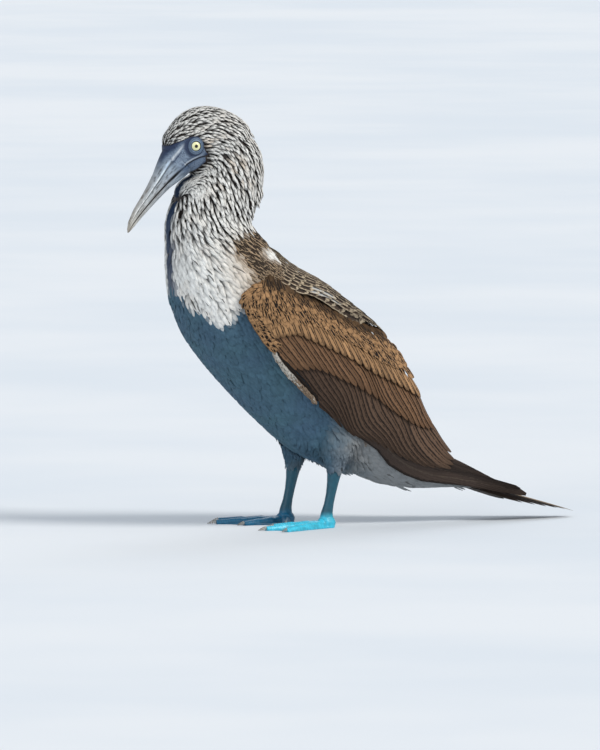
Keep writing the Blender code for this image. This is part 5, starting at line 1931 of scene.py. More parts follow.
def bill_points(along: Array, across: Array, side: Array) -> Array:
    """Points of the part's frame by their place beside the bill.

    Args:
        along: distances out along the bill from its base.
        across: distances up across it.
        side: distances to the left.

    Returns:
        The points.
    """
    run, rise = math.cos(BILL_PITCH), math.sin(BILL_PITCH)
    forward = BILL_BASE[0] + along * run + across * rise
    return head_points(forward, BILL_BASE[1] - along * rise + across * run, side)


def mouth_line(points: Array) -> Array:
    """How near points are to the line of the mouth, from 0 to 1."""
    forward, up, _ = into_head(points)
    return blend(0.0011, 0.0004, line_distance(forward, up, MOUTH_LINE))


@dataclass(frozen=True)
class FaceTint:
    """The colours of the bare face, which run on over the base of the bill."""

    steel: Colour = (0.062, 0.102, 0.172)
    light: Colour = (0.245, 0.310, 0.395)
    navy: Colour = (0.010, 0.024, 0.070)
    # The colour of the painted highlights along the ridge and above the mouth line.
    cream: Colour = (0.60, 0.64, 0.68)
    mouth: Colour = (0.003, 0.004, 0.008)

    def at(self, points: Array) -> Array:
        """The colour at each point.

        Args:
            points: points of the part's frame.

        Returns:
            The colours.
        """
        along, across = bill_place(points)
        forward, up, _ = into_head(points)
        mouth = line_distance(forward, up, MOUTH_LINE)
        mottle = 0.5 + 0.5 * wobble(points, 0.0052, 5) * wobble(points, 0.0031, 2)
        lores = blend(-0.018, -0.008, along) * blend(-0.006, 0.002, across) * blend(0.020, 0.015, across)
        gape = blend(0.0, 0.003, mouth) * blend(-0.003, -0.008, across + 0.25 * (along + 0.012))
        eye = np.hypot(forward - EYE_FORWARD_PLACE, up - EYE_UP_PLACE)
        ring = blend(0.0145, 0.0105, eye) * blend(0.0, 0.006, forward - EYE_FORWARD_PLACE + 0.002)
        specks = blend(0.06, 0.20, wobble(points, 0.0019, 3) * wobble(points, 0.0027, 7))
        top = blend(0.0165, 0.0205, across + 0.0012 * wobble(points, 0.004, 1)) * blend(0.024, 0.006, along)
        chin = blend(-0.0145, -0.0185, across)
        corner = np.exp(-((np.hypot(forward - 0.0245, up + 0.0085) / 0.0030) ** 2))
        # A painted highlight along the ridge where it runs onto the face, and painted shade in the groove
        # beside it.
        ridge_highlight = np.exp(-(((across - 0.0131 + 0.12 * along) / 0.0012) ** 2)) * blend(-0.017, -0.006, along)
        groove = np.exp(-(((across - 0.0104 + 0.12 * along) / 0.0008) ** 2)) * blend(-0.010, -0.002, along)
        # A painted highlight in a band just above the mouth line.
        beside_mouth = line_distance(forward - 0.0008, up - 0.0019, MOUTH_LINE)
        band = blend(0.0011, 0.0003, beside_mouth) * blend(-0.022, -0.010, along)
        layers = (
            (np.maximum(lores, 0.55 * gape) * (0.55 + 0.45 * mottle), self.light),
            (0.9 * ring, self.navy),
            (0.75 * specks, self.navy),
            (0.95 * top, self.navy),
            (0.8 * chin, self.navy),
            (corner, self.navy),
            (0.9 * ridge_highlight, self.cream),
            (0.8 * groove, self.navy),
            (0.7 * band, self.cream),
            (blend(0.0011, 0.0004, mouth), self.mouth),
        )
        return layered(np.tile(np.array(self.steel), (len(points), 1)), layers)


def layered(ground: Array, layers: tuple) -> Array:
    """Colours laid over one another.

    Args:
        ground: the colour of each point below them.
        layers: for each layer how strong it is at each point, and its colour.

    Returns:
        A colour for each point.
    """
    for share, tint in layers:
        ground = mix(ground, np.array(tint), share[:, None])
    return ground


def skin_colours(points: Array, lie: Lie) -> Array:
    """The skin's colour, under feathers and on the bare face.

    Args:
        points: points of the part's frame.
        lie: the body's line.

    Returns:
        A colour for each point.
    """
    return mix(Markings(points, lie).ground(), FaceTint().at(points), bare_face(points)[:, None])


class Markings:
    """The plumage's colours over the body, by place along the body's line and round it."""

    WHITE = np.array((0.93, 0.915, 0.875))
    DARK = np.array((0.016, 0.011, 0.009))
    TAN = np.array((0.46, 0.33, 0.21))
    # The next two colours are the white belly feathers painted in blue shade.
    BLUE = np.array((0.070, 0.129, 0.197))
    SHADE_TEAL = np.array((0.072, 0.146, 0.190))
    NAVY = np.array((0.020, 0.045, 0.100))
    GREY = np.array((0.25, 0.26, 0.265))
    # Where the belly's painted blue shade begins: place round the body from the back to the front, and
    # height.
    BELLY_LINE = (
        (0.40, 0.270), (0.50, 0.258), (0.568, 0.253), (0.65, 0.240),
        (0.737, 0.229), (0.83, 0.249), (0.90, 0.263), (1.0, 0.271),
    )
    # Where the brown back ends, by distance along the body's line.
    BACK_LINE = (
        (0.12, 0.0), (0.15, 0.46), (0.165, 0.50), (0.18, 0.46),
        (0.20, 0.43), (0.24, 0.44), (0.30, 0.46), (0.45, 0.52),
    )

    def __init__(self, points: Array, lie: Lie) -> None:
        """Measures where the points lie.

        Args:
            points: points of the part's frame.
            lie: the body's line.
        """
        self.points = points
        self.reach, self.angle = lie.place(points)
        self.front = np.abs(self.angle) / math.pi
        self.height = points[:, 2]

    def belly(self) -> Array:
        """How far each point is on the belly, below the white breast, painted in blue shade.

        Returns:
            A value from 0 to 1 for each.
        """
        line = np.interp(self.front, *zip(*self.BELLY_LINE))
        ragged = 0.002 * wobble(self.points, 0.011, 3) + 0.002 * wobble(self.points, 0.005, 5)
        ragged = ragged * (1 + 1.5 * blend(0.70, 0.76, self.front))
        return blend(0.003, -0.003, self.height + ragged - line) * blend(0.30, 0.42, self.front)

    def vent(self) -> Array:
        """How far each point is behind the legs, where the coat is grey-white."""
        ragged = 0.012 * wobble(self.points, 0.03, 4)
        return blend(0.40, 0.47, self.reach + ragged + 0.06 * blend(0.8, 0.5, self.front))

    def back(self) -> Array:
        """How far each point is on the brown back.

        Returns:
            A value from 0 to 1 for each.
        """
        edge = np.interp(self.reach, *zip(*self.BACK_LINE))
        beyond = self.front + 0.05 * wobble(self.points, 0.014, 9) - edge
        return blend(0.05, -0.05, beyond) * blend(0.11, 0.14, self.reach)

    def throat(self) -> Array:
        """How far each point is on the dark blue strip of the throat, which goes on fainter down the breast.

        Returns:
            A value from 0 to 1 for each.
        """
        # The strip is partly the throat's dark skin and partly painted shade; down the breast it is painted
        # shade.
        ragged = 0.03 * wobble(self.points, 0.012, 7)
        wide = np.interp(self.reach, [0.03, 0.06, 0.11, 0.20, 0.26], [0.93, 0.925, 0.93, 0.95, 0.985])
        strength = np.interp(self.reach, [0.10, 0.16, 0.23], [1.0, 0.95, 0.7])
        return blend(-0.02, 0.03, self.front + ragged - wide) * strength

    def nape(self) -> Array:
        """How far each point is on the white patch at the base of the nape."""
        spot = ((self.height - 0.306 + 0.004 * wobble(self.points, 0.02, 1)) / 0.0075) ** 2
        return np.exp(-(spot**2)) * blend(0.34, 0.22, self.front) * (self.reach > 0.12)

    def ground(self) -> Array:
        """The colour of the skin and of the feathers' dark roots.

        Returns:
            A colour for each point.
        """
        colour = mix(self.WHITE * 0.55, self.DARK * 1.6, blend(0.24, 0.16, self.reach)[:, None])
        layers = (
            # The skin under the belly takes the same painted blue shade.
            (self.belly(), self.BLUE * 0.8),
            (self.vent(), self.GREY * 0.7),
            (self.back(), self.DARK * 2.0),
        )
        return layered(colour, layers)


@dataclass
class BodyPlumage:
    """The small feathers of head, neck, breast, belly, back and thighs."""

    ground: Ground
    lie: Lie
    finish: bpy.types.Material
    back_rim: Colour = (0.50, 0.37, 0.24)
    # Along the body's line: spacing, length, width and height of the feathers.
    sizes: tuple = (
        (0.000, 0.0019, 0.0048, 0.0026, 0.0009),
        (0.030, 0.0028, 0.0085, 0.0037, 0.0014),
        (0.070, 0.0036, 0.0125, 0.0048, 0.0020),
        (0.110, 0.0042, 0.0160, 0.0058, 0.0024),
        (0.150, 0.0043, 0.0170, 0.0060, 0.0026),
        (0.190, 0.0036, 0.0150, 0.0056, 0.0025),
        (0.230, 0.0032, 0.0135, 0.0056, 0.0024),
        (0.330, 0.0035, 0.0155, 0.0068, 0.0026),
        (0.440, 0.0040, 0.0180, 0.0075, 0.0024),
        (0.500, 0.0043, 0.0190, 0.0080, 0.0016),
        (0.560, 0.0045, 0.0190, 0.0080, 0.0010),
    )

    def size(self, reach: Array, column: int) -> Array:
        """A size of the feathers by distance along the body's line."""
        rows = np.array(self.sizes)
        return np.interp(reach, rows[:, 0], rows[:, column])

    def looks(self, roots: Array, rng: np.random.Generator) -> Looks:
        """Colours and markings of feathers at the given roots.

        Args:
            roots: their places.
            rng: the source of chance.

        Returns:
            The looks.
        """
        marks = Markings(roots, self.lie)
        count, reach, front = len(roots), marks.reach, marks.front
        shade = (1 + rng.normal(0, 0.06, (count, 1))).clip(0.78, 1.12)
        streaked = blend(0.195, 0.145, reach + 0.012 * blend(0.5, 0.8, front))
        belly, nape = marks.belly(), marks.nape()
        vent, throat, back = marks.vent() * belly, marks.throat() * (1 - belly), marks.back() * (1 - nape)
        early = blend(0.26, 0.18, reach)
        brown = mix(np.array((0.26, 0.17, 0.10)), marks.TAN * 1.15, early[:, None])
        warm = blend(0.12, 0.18, reach) * blend(0.72, 0.42, front) * 0.55
        ear = blend(0.028, 0.045, reach) * blend(0.10, 0.075, reach) * blend(0.25, 0.1, np.abs(front - 0.5))
        patches = blend(-0.2, 0.6, wobble(roots, 0.02, 6)) * blend(0.02, 0.04, reach)
        warm = np.maximum(warm, (0.15 + 0.45 * ear) * patches)
        teal = 0.5 + 0.5 * wobble(roots, 0.07, 2)
        layers = (
            (warm, marks.TAN * 1.3),
            (nape, marks.WHITE * 1.05),
            # The throat strip: partly dark skin, partly painted shade, and painted shade down the breast.
            (throat, marks.NAVY),
            # The belly's white feathers painted in blue shade, varied between two blues.
            (belly, marks.BLUE),
            (belly * teal, marks.SHADE_TEAL),
            (vent, marks.GREY),
            (back, brown),
        )
        tone = layered(np.tile(marks.WHITE, (count, 1)), layers) * shade
        plain = (1 - belly) * (1 - back)
        strength = streaked * plain * (1 - 0.8 * throat)
        band = np.exp(-(((marks.height - 0.257) / 0.006) ** 2))
        likely = 0.05 + 0.22 * blend(0.2, 0.8, wobble(roots, 0.024, 4)) + 0.35 * band
        fleck = (rng.random(count) < likely) * plain * 0.85 * blend(0.13, 0.17, reach)
        fleck = np.maximum(fleck, (rng.random(count) < 0.10) * vent * 0.6)
        mark_strength = np.maximum(np.maximum(fleck, back * 0.95), strength * 0.12)
        rim_colour = mix(np.tile(marks.DARK, (count, 1)), self.back_rim, back[:, None])
        rim_strength = np.maximum(np.maximum(strength, back * (0.6 - 0.35 * early)), 0.14 * plain)
        width = 0.30 - 0.10 * streaked * (1 - back) + (0.20 + 0.16 * early) * back
        # Darker roots: partly the feathers' dark bases, partly painted shade where they overlap.
        rooted = 1 - 0.66 * np.maximum(streaked * (1 - throat), 0.4 * plain)
        form = np.stack([width, 0.52 + 0.18 * back, np.maximum(0.9 * back, 0.6 * streaked), rooted], axis=1)
        mark = four(np.tile(marks.DARK, (count, 1)), mark_strength)
        return Looks.of(count, four(tone), mark, four(rim_colour, rim_strength), form)

    def build(self) -> None:
        """Plants the coat in pieces along the body."""
        rng = np.random.default_rng(11)
        points = self.ground.points
        reach, _ = self.lie.place(points)
        open_skin = (1 - bare_face(points)) * (1 - self.under_wing(points))
        facing_back = (self.ground.normals * self.lie.direction(points)).sum(-1) > 0.4
        open_skin = open_skin * ~(facing_back & (reach > 0.5))
        small = (1 - 0.42 * self.fine(points)) * (1 - 0.5 * self.crowded(points))
        roots = self.ground.scatter(self.size(reach, 1) * small, open_skin, rng)
        reach, _ = self.lie.place(roots)
        # Each piece's name, its stretch of the body's line, its feathers' form and stray, and its slot.
        parts = (
            ("head_feathers", 0.0, 0.088, LANCE, 0.12, "head_feathers"),
            ("neck_feathers", 0.088, 0.20, LANCE, 0.12, "head_feathers"),
            ("breast_feathers", 0.20, 0.36, SOFT, 0.07, "body_feathers"),
            ("belly_feathers", 0.36, 9.0, SOFT, 0.07, "body_feathers"),
        )
        for name, low, high, form, stray, slot in parts:
            chosen = (reach >= low) & (reach < high)
            picked, at = roots[chosen], reach[chosen]
            vary = (1 + rng.normal(0, 0.1, len(picked))) * (1 - 0.42 * self.fine(picked))
            length, width, height = (self.size(at, column) for column in (2, 3, 4))
            looks = self.looks(picked, rng)
            planting = Planting(picked, length * vary, width * vary, height, looks, stray)
            made = Blades.object_of(name, [grow(self.ground, self.lie, planting, form, rng)], self.finish)
            dress(made, [])

    def fine(self, points: Array) -> Array:
        """Where the feathers are smaller than their place along the body says: thighs and shoulders.

        Args:
            points: points of the skin.

        Returns:
            A value from 0 to 1 for each.
        """
        marks = Markings(points, self.lie)
        shoulder = marks.back() * blend(0.30, 0.24, marks.reach) * (1 - 0.6 * blend(0.23, 0.18, marks.reach))
        return np.maximum(on_thigh(points, 0.090), shoulder)

    def crowded(self, points: Array) -> Array:
        """Where the feathers stand closer, because they part there: across the throat behind the chin.

        Args:
            points: points of the skin.

        Returns:
            A value from 0 to 1 for each.
        """
        forward, up, _ = into_head(points)
        away = np.abs(up + 0.0440 + 0.53 * (forward - 0.0334))
        return blend(0.0085, 0.0035, away) * blend(0.022, 0.030, forward)

    def under_wing(self, points: Array) -> Array:
        """Where the skin is hidden under wings and shoulder feathers.

        Args:
            points: points of the skin.

        Returns:
            1 for each hidden point, and 0 for the others.
        """
        y, z = points[:, 1] - ORIGIN_SHIFT, points[:, 2] - BODY_ORIGIN_Z
        t, n = (y - z) / math.sqrt(2), (y + z) / math.sqrt(2)
        low, high = WingPlan().edges(t)
        top = np.maximum(high - 0.005, Mantle.edge_at(t) - 0.004) + np.interp(t, [-0.20, -0.185], [0.0, 0.02])
        inside = (t > -0.225) & (t < 0.06) & (n > low + 0.016) & (n < top)
        inside |= (t >= 0.06) & (t < 0.18) & (n > low + 0.006) & (n < high + 0.010)
        arm = np.abs(points[:, 0]) > 0.015
        shoulder = (t > -0.200) & (t < -0.08) & (n > 0.17)
        return ((inside & arm) | shoulder).astype(float)


# Bill, eyes, feet and claws


def rings_object(
    name: str, rings: Array, finish: bpy.types.Material, closed: bool = True
) -> bpy.types.Object:
    """Makes an object through rings of points, with flat ends where it is closed.

    Args:
        name: its name.
        rings: the points, by ring and place round it.
        finish: its material.
        closed: whether its two ends are closed.

    Returns:
        The object.
    """
    count, around = rings.shape[:2]
    points, faces = rings.reshape(-1, 3), []
    k = np.arange(around)
    for ring in range(count - 1):
        a, b = ring * around + k, ring * around + (k + 1) % around
        faces += [np.stack([a, b, b + around], axis=1), np.stack([a, b + around, a + around], axis=1)]
    if closed:
        for ring, order in ((0, 1), (count - 1, -1)):
            points = np.concatenate([points, rings[ring].mean(axis=0)[None]])
            a, b = ring * around + k, ring * around + (k + 1) % around
            faces.append(np.stack([np.full(around, len(points) - 1), b, a][::order], axis=1))
    return mesh_object(name, points, np.concatenate(faces), finish)


@dataclass
class Bill:
    """The upper and the lower bill."""

    finish: bpy.types.Material
    # Distance from the base, upper edge, mouth line, lower edge and half width.
    stations: SmoothTable = field(
        default_factory=lambda: SmoothTable(
            [
                (0.0000, 0.0215, -0.0040, -0.0170, 0.0170), (0.0120, 0.0190, -0.0020, -0.0145, 0.0150),
                (0.0280, 0.0145, 0.0000, -0.0095, 0.0120), (0.0500, 0.0110, 0.0015, -0.0060, 0.0090),
                (0.0730, 0.0090, 0.0023, -0.0036, 0.0065), (0.0880, 0.0056, 0.0016, -0.0026, 0.0042),
                (0.0950, 0.0018, 0.0000, -0.0020, 0.0022), (0.0975, -0.0004, -0.0009, -0.0015, 0.0009),
            ]
        )
    )
    # Half outlines from the mouth line to the edge: share of the half width, share of the height.
    upper: tuple = (
        (0.88, 0.00), (0.98, 0.05), (1.00, 0.12), (0.985, 0.26), (0.90, 0.42), (0.76, 0.52),
        (0.655, 0.585), (0.665, 0.65), (0.63, 0.75), (0.50, 0.87), (0.26, 0.97), (0.00, 1.00),
    )
    lower: tuple = (
        (0.84, 0.00), (0.94, 0.06), (0.96, 0.16), (0.90, 0.40),
        (0.70, 0.74), (0.37, 0.94), (0.00, 1.00),
    )
    rings: int = 120
    around: int = 30
    base: float = 0.0003
    length: float = 0.0975
    # Distances from the base, and the horn's colours there.
    shares: tuple = (0.0, 0.010, 0.030, 0.060, 0.085, 0.098)
    tints: tuple = (
        (0.20, 0.26, 0.34), (0.24, 0.30, 0.37), (0.36, 0.41, 0.46),
        (0.49, 0.515, 0.525), (0.56, 0.545, 0.50), (0.46, 0.41, 0.33),
    )

    def rings_of(self, along: Array, share: float) -> Array:
        """Plain rings through both halves of the bill.

        Args:
            along: distances from the base.
            share: how large they are beside the bill.

        Returns:
            The rings' points.
        """
        rows = self.stations.at(along)
        angle = np.linspace(0, 2 * math.pi, 28, endpoint=False)
        middle, half = (rows[:, 1:2] + rows[:, 3:4]) / 2, (rows[:, 1:2] - rows[:, 3:4]) / 2 * share
        across = middle + half * np.cos(angle)
        side = rows[:, 4:5] * share * np.sin(angle)
        return bill_points(along[:, None], across, side)

    def half(self, name: str, outline: tuple, column: int, nodes: list[str]) -> None:
        """One half of the bill.

        Args:
            name: its name.
            outline: its half outline.
            column: which column of the stations gives its edge.
            nodes: the nodes that it replaces.
        """
        shape = smooth_line(outline, self.around)
        wide = np.concatenate([shape[:, 0], -shape[-2::-1, 0]])
        high = np.concatenate([shape[:, 1], shape[-2::-1, 1]])
        along = self.base + (self.length - self.base) * (1 - (1 - np.linspace(0, 1, self.rings)) ** 1.25)
        rows = self.stations.at(along)
        mouth, edge, half_width = rows[:, 2:3], rows[:, column : column + 1], rows[:, 4:5]
        across = mouth + (edge - mouth) * high[None]
        side = half_width * wide[None]
        waves = np.sin(high[None] * 46 + 3 * np.sin(along[:, None] * 70))
        ridges = 0.00009 * waves * blend(0.0, 0.02, along)[:, None]
        side = side * (1 + ridges / np.maximum(half_width, 0.002))
        points = bill_points(along[:, None], across, side)
        made = rings_object(name, points, self.finish)
        colour = self.colours(along[:, None] + 0 * across, high[None] + 0 * across, column == 1)
        horn = blend(0.001, 0.016, along)[:, None, None]
        colour = mix(FaceTint().at(points.reshape(-1, 3)).reshape(colour.shape), colour, horn)
        colour = np.concatenate([colour.reshape(-1, 3), colour[0, :1], colour[-1, :1]])
        add_colour(made.data, "tone", four(colour))
        dress(made, nodes)

    def colours(self, along: Array, high: Array, is_upper: bool) -> Array:
        """The bill's colour: dark blue at its base, grey-blue along it and paler at its tip.

        Args:
            along: distances from the base.
            high: shares of the way from the mouth line to the edge.
            is_upper: whether this is the upper bill.

        Returns:
            A colour for each place.
        """
        columns = zip(*self.tints)
        colour = np.stack([np.interp(along, self.shares, column) for column in columns], axis=-1)
        places = np.stack([along * 0.20, high * 0.011, 0 * along], axis=-1)
        streaks = 0.5 + 0.5 * wobble(places, 0.0021, 4)
        scratches = blend(0.22, 0.50, wobble(places * np.array([0.7, 1.4, 1.0]), 0.0019, 9))
        colour = colour * (0.78 + 0.52 * streaks - 0.68 * scratches).clip(0.08, 1.4)[..., None]
        horn = np.array((0.27, 0.205, 0.145))
        warm = 0.45 * blend(0.25, 0.0, high) + 0.25 * blend(0.82, 1.0, high) + 0.25 * streaks
        colour = mix(colour, horn, (warm * blend(0.012, 0.045, along))[..., None])
        reach = blend(0.0, 0.01, along) * blend(0.094, 0.07, along) * is_upper
        # A painted highlight along the ridge above the nasal groove, and painted shade in the groove.
        groove = np.exp(-(((high - 0.575) / 0.035) ** 2)) * reach
        ridge_highlight = np.exp(-(((high - 0.68) / 0.06) ** 2)) * reach
        mouth = blend(0.17, 0.07, high) if is_upper else blend(0.15, 0.05, high)
        colour = (colour * (1 + 1.1 * ridge_highlight[..., None])).clip(0, 0.85)
        colour = colour * (1 - 0.95 * np.maximum(0.85 * groove, mouth))[..., None]
        culmen = blend(0.84, 0.97, high) * blend(0.026, 0.008, along) if is_upper else 0 * high
        return mix(colour, np.array(FaceTint().navy), 0.9 * culmen[..., None])

    def build(self) -> None:
        """Builds both halves."""
        self.half("bill_upper_horn", self.upper, 1, ["bill_upper"])
        self.half("bill_lower_horn", self.lower, 3, ["bill_lower"])


@dataclass(frozen=True)
class EyeFinish(Finish):
    """An eye drawn over its own map: the turn round the pupil, and the distance from it in millimetres."""

    pupil: float = 1.75
    iris: float = 4.85

    def build(self) -> bpy.types.Material:
        """Makes the material.

        Returns:
            The material.
        """
        made, graph, shader = self.start()
        shader.inputs["Coat Roughness"].default_value = 0.02
        place = graph.add("ShaderNodeSeparateXYZ", {0: graph.add("ShaderNodeUVMap", uv_map="Eye").outputs[0]})
        turn, out = place.outputs[0], place.outputs[1]
        rays = graph.add("ShaderNodeCombineXYZ", {0: graph.times(turn, 60.0), 1: graph.times(out, 0.7)})
        streaks = graph.noise(1.0, 4.0, 0.5, rays.outputs[0])
        warm = graph.mix(graph.step(out, self.pupil, self.iris), (0.90, 0.88, 0.42, 1), (0.92, 0.93, 0.60, 1))
        iris = graph.mix(graph.step(streaks, 0.35, 0.75, 0.45), warm, (0.50, 0.46, 0.20, 1))
        beyond_iris = graph.step(out, self.iris - 0.35, self.iris + 0.15)
        limbus = graph.mix(beyond_iris, iris, (0.012, 0.014, 0.018, 1))
        edge = graph.mix(graph.step(out, self.pupil + 0.35, self.pupil), limbus, (0.16, 0.13, 0.05, 1))
        inside_pupil = graph.step(out, self.pupil + 0.10, self.pupil - 0.05)
        colour = graph.mix(inside_pupil, edge, (0.003, 0.003, 0.004, 1))
        graph.fill(shader, {"Base Color": colour})
        return made


@dataclass
class Eyes:
    """Both eyeballs, each in its ring of bare lids."""

    eye: bpy.types.Material
    lid: bpy.types.Material
    # The lids' section: distance from the pupil's axis, and height out of the face.
    section: tuple = (
        (0.0055, -0.0004), (0.0051, 0.0008), (0.0052, 0.0016), (0.0057, 0.0021), (0.0064, 0.0020),
        (0.0070, 0.0014), (0.0074, 0.0012), (0.0080, 0.0013), (0.0088, 0.0008), (0.0097, -0.0004),
        (0.0104, -0.0022),
    )
    around: int = 96

    def ball(self, side: Side) -> None:
        """Builds an eyeball, with a cornea that bulges a little.

        Args:
            side: the side of the bird.
        """
        angle = np.linspace(0.02, math.pi * 0.72, 56)
        turn = np.linspace(0, 2 * math.pi, self.around, endpoint=False)
        out = EYE_RADIUS * np.sin(angle)
        height = EYE_RADIUS * np.cos(angle) - EYE_DEPTH + 0.0004 * blend(0.0048, 0.0, out) * (angle < 1.5)
        level = [out[:, None] * np.cos(turn), out[:, None] * np.sin(turn)]
        local = np.stack([*level, height[:, None] + 0 * turn], axis=-1)
        rings = place_points(local, eye_matrix(side))
        made = rings_object(f"eyeball_{side.label}", rings[::-1], self.eye)
        distance = np.where(angle < math.pi / 2, out, 0.009) * 1000
        places = np.stack(np.broadcast_arrays(turn / (2 * math.pi), distance[:, None]), axis=-1)[::-1]
        places = np.concatenate([places.reshape(-1, 2), [(0, 9.0)], [(0, 0.0)]])
        index = np.empty(len(made.data.loops), np.int32)
        made.data.loops.foreach_get("vertex_index", index)
        corner = places[index].reshape(-1, 3, 2)
        turns = corner[..., 0]
        wrapped = (turns.max(axis=1) - turns.min(axis=1) > 0.5)[:, None] & (turns < 0.5)
        corner[..., 0] += wrapped
        add_map(made.data, "Eye", corner.reshape(-1, 2))
        dress(made, [f"eye_{side.label}"])

    def lids(self, side: Side) -> None:
        """Builds the swollen ring of bare skin round an eye, finely wrinkled.

        Args:
            side: the side of the bird.
        """
        shape = smooth_line(self.section, 46)
        turn = np.linspace(0, 2 * math.pi, 2 * self.around, endpoint=False)
        out, height = shape[:, :1], shape[:, 1:]
        rays = np.sin(23 * turn + 3 * np.sin(7 * turn) + 1.5 * np.sin(900 * out))
        rings = np.sin(8200 * out + 1.3 * np.sin(3 * turn) + 0.9 * np.sin(8 * turn))
        crease = (0.00003 * rays + 0.00004 * rings) * blend(0.0056, 0.0066, out)
        out = out * (1 + 0.05 * np.cos(2 * turn) * blend(0.0055, 0.0075, out)) + 0 * turn
        local = np.stack([out * np.cos(turn), out * np.sin(turn), height + crease], axis=-1)
        made = rings_object(f"eyelids_{side.label}", place_points(local, eye_matrix(side)), self.lid, False)
        # Painted shade in the wrinkles and in the groove between the two folds.
        shade = blend(0.0052, 0.0062, shape[:, 0])[:, None] * (0.86 + 0.06 * rays + 0.10 * rings)
        shade = shade * (1 - 0.75 * np.exp(-(((shape[:, :1] - 0.0074) / 0.00035) ** 2)))
        colour = mix(np.array((0.010, 0.014, 0.022)), np.array((0.16, 0.24, 0.35)), shade[..., None])
        fade = blend(0.0076, 0.0094, shape[:, 0])[:, None, None]
        colour = mix(colour, np.array((0.020, 0.036, 0.080)), fade).reshape(-1, 3)
        add_colour(made.data, "tone", four(colour))
        dress(made, [])

    def build(self) -> None:
        """Builds both eyes."""
        for side in Side:
            self.ball(side)
            self.lids(side)


@dataclass
class Feet:
    """Bare legs and webbed feet, and their claws."""

    skin: bpy.types.Material
    horn: bpy.types.Material
    voxel: float = 0.00075
    # Where each foot's heel stands along Y, and how far its toes turn out.
    heels: tuple[float, float] = (0.016, -0.002)
    leg_side: float = 0.038
    toe_turn: float = math.radians(9)
    # Each toe: angle out from straight ahead in degrees, and length.
    toes: tuple = ((-78, 0.030), (-25, 0.058), (1, 0.078), (23, 0.075))
    toe_names: tuple = ("hind", "inner", "middle", "outer")
    scute: float = 0.0027

    def toe_places(self, points: Array, side: Side) -> tuple[Array, Array]:
        """Distance along the nearest toe, and away from its middle line, of points of a foot.

        Args:
            points: the points.
            side: the side of the bird.

        Returns:
            Two arrays of distances.
        """
        heel = self.heels[0 if side is Side.LEFT else 1] + ORIGIN_SHIFT
        outward = (points[:, 0] - side.value * self.leg_side) * side.value
        level = np.stack([outward, points[:, 1] - heel], axis=1)
        along, away = np.zeros(len(points)), np.full(len(points), 1.0)
        for angle, length in self.toes:
            out = math.radians(angle) + self.toe_turn
            run = np.array([math.sin(out), -math.cos(out)])
            reach = level @ run
            beside = np.abs(level[:, 0] * run[1] - level[:, 1] * run[0])
            beside = np.where((reach > 0.004) & (reach < length + 0.002), beside, 1.0)
            along, away = np.where(beside < away, reach, along), np.minimum(away, beside)
        return along, away

    def leg(self, side: Side) -> None:
        """A leg with its foot, as one skin with scutes on its toes and shin.

        Args:
            side: the side of the bird.
        """
        names = [f"leg_{side.label}", f"foot_{side.label}"]
        shape = bmesh.new()
        for name in names:
            shape.from_mesh(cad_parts[name].data)
        made = piece_of(f"webbed_foot_{side.label}", shape)
        apply_modifier(made, "REMESH", mode="VOXEL", voxel_size=self.voxel)
        apply_modifier(made, "SMOOTH", factor=0.5, iterations=4)
        points, normals = vectors_of(made.data.vertices, "co"), vectors_of(made.data.vertices, "normal")
        along, away = self.toe_places(points, side)
        height = points[:, 2]
        foot = blend(0.016, 0.011, height)
        toe = blend(0.0048, 0.0030, away) * foot * blend(0.0012, 0.0028, height)
        joint = np.abs(np.mod(along / self.scute, 1) - 0.5) * 2
        groove = toe * blend(0.70, 1.0, joint)
        shin = (1 - foot) * blend(0.3, 0.8, -normals[:, 1])
        ring = np.abs(np.mod(height / 0.0030, 1) - 0.5) * 2
        groove = np.maximum(groove, shin * blend(0.74, 1.0, ring))
        folds = wobble(points * np.array([1.0, 1.0, 0.3]), 0.0075, 6 + side.value) * foot * (1 - toe)
        move = -0.00026 * groove + 0.00012 * folds * (normals[:, 2] > 0.2)
        points = points + normals * move[:, None]
        points[:, 2] = np.maximum(points[:, 2], 0)
        # Both feet share one blue, painted lit on the near left foot and in shade on the far right one.
        foot_light_and_shade = np.array((0.040, 0.50, 0.68)) if side is Side.LEFT else np.array((0.002, 0.115, 0.225))
        colour = mix(np.array((0.002, 0.080, 0.125)), foot_light_and_shade, blend(0.019, 0.009, height)[:, None])
        # Painted light and shade on the relief: toe tops lighter, scute grooves darker, folds lighter where
        # raised.
        colour = colour * (1 + 0.30 * toe - 0.62 * groove + 0.22 * folds)[:, None]
        settle(made.data, self.skin, points, colour.clip(0, 1))
        dress(made, names)

    def claws(self, side: Side) -> None:
        """Builds the claws of a foot.

        Args:
            side: the side of the bird.
        """
        for toe in self.toe_names:
            node = f"claw_{side.label}_{toe}"
            made = bpy.data.objects.new(f"{node}_horn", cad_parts[node].data.copy())
            bpy.context.scene.collection.objects.link(made)
            apply_modifier(made, "SUBSURF", levels=2, render_levels=2)
            points = vectors_of(made.data.vertices, "co")
            share = blend(points[:, 1].max(), points[:, 1].min(), points[:, 1])[:, None]
            colour = mix(np.array((0.42, 0.40, 0.36)), np.array((0.20, 0.17, 0.14)), share)
            settle(made.data, self.horn, points, colour)
            dress(made, [node])

    def build(self) -> None:
        """Builds both legs and all claws."""
        for side in Side:
            self.leg(side)
            self.claws(side)


# Studio


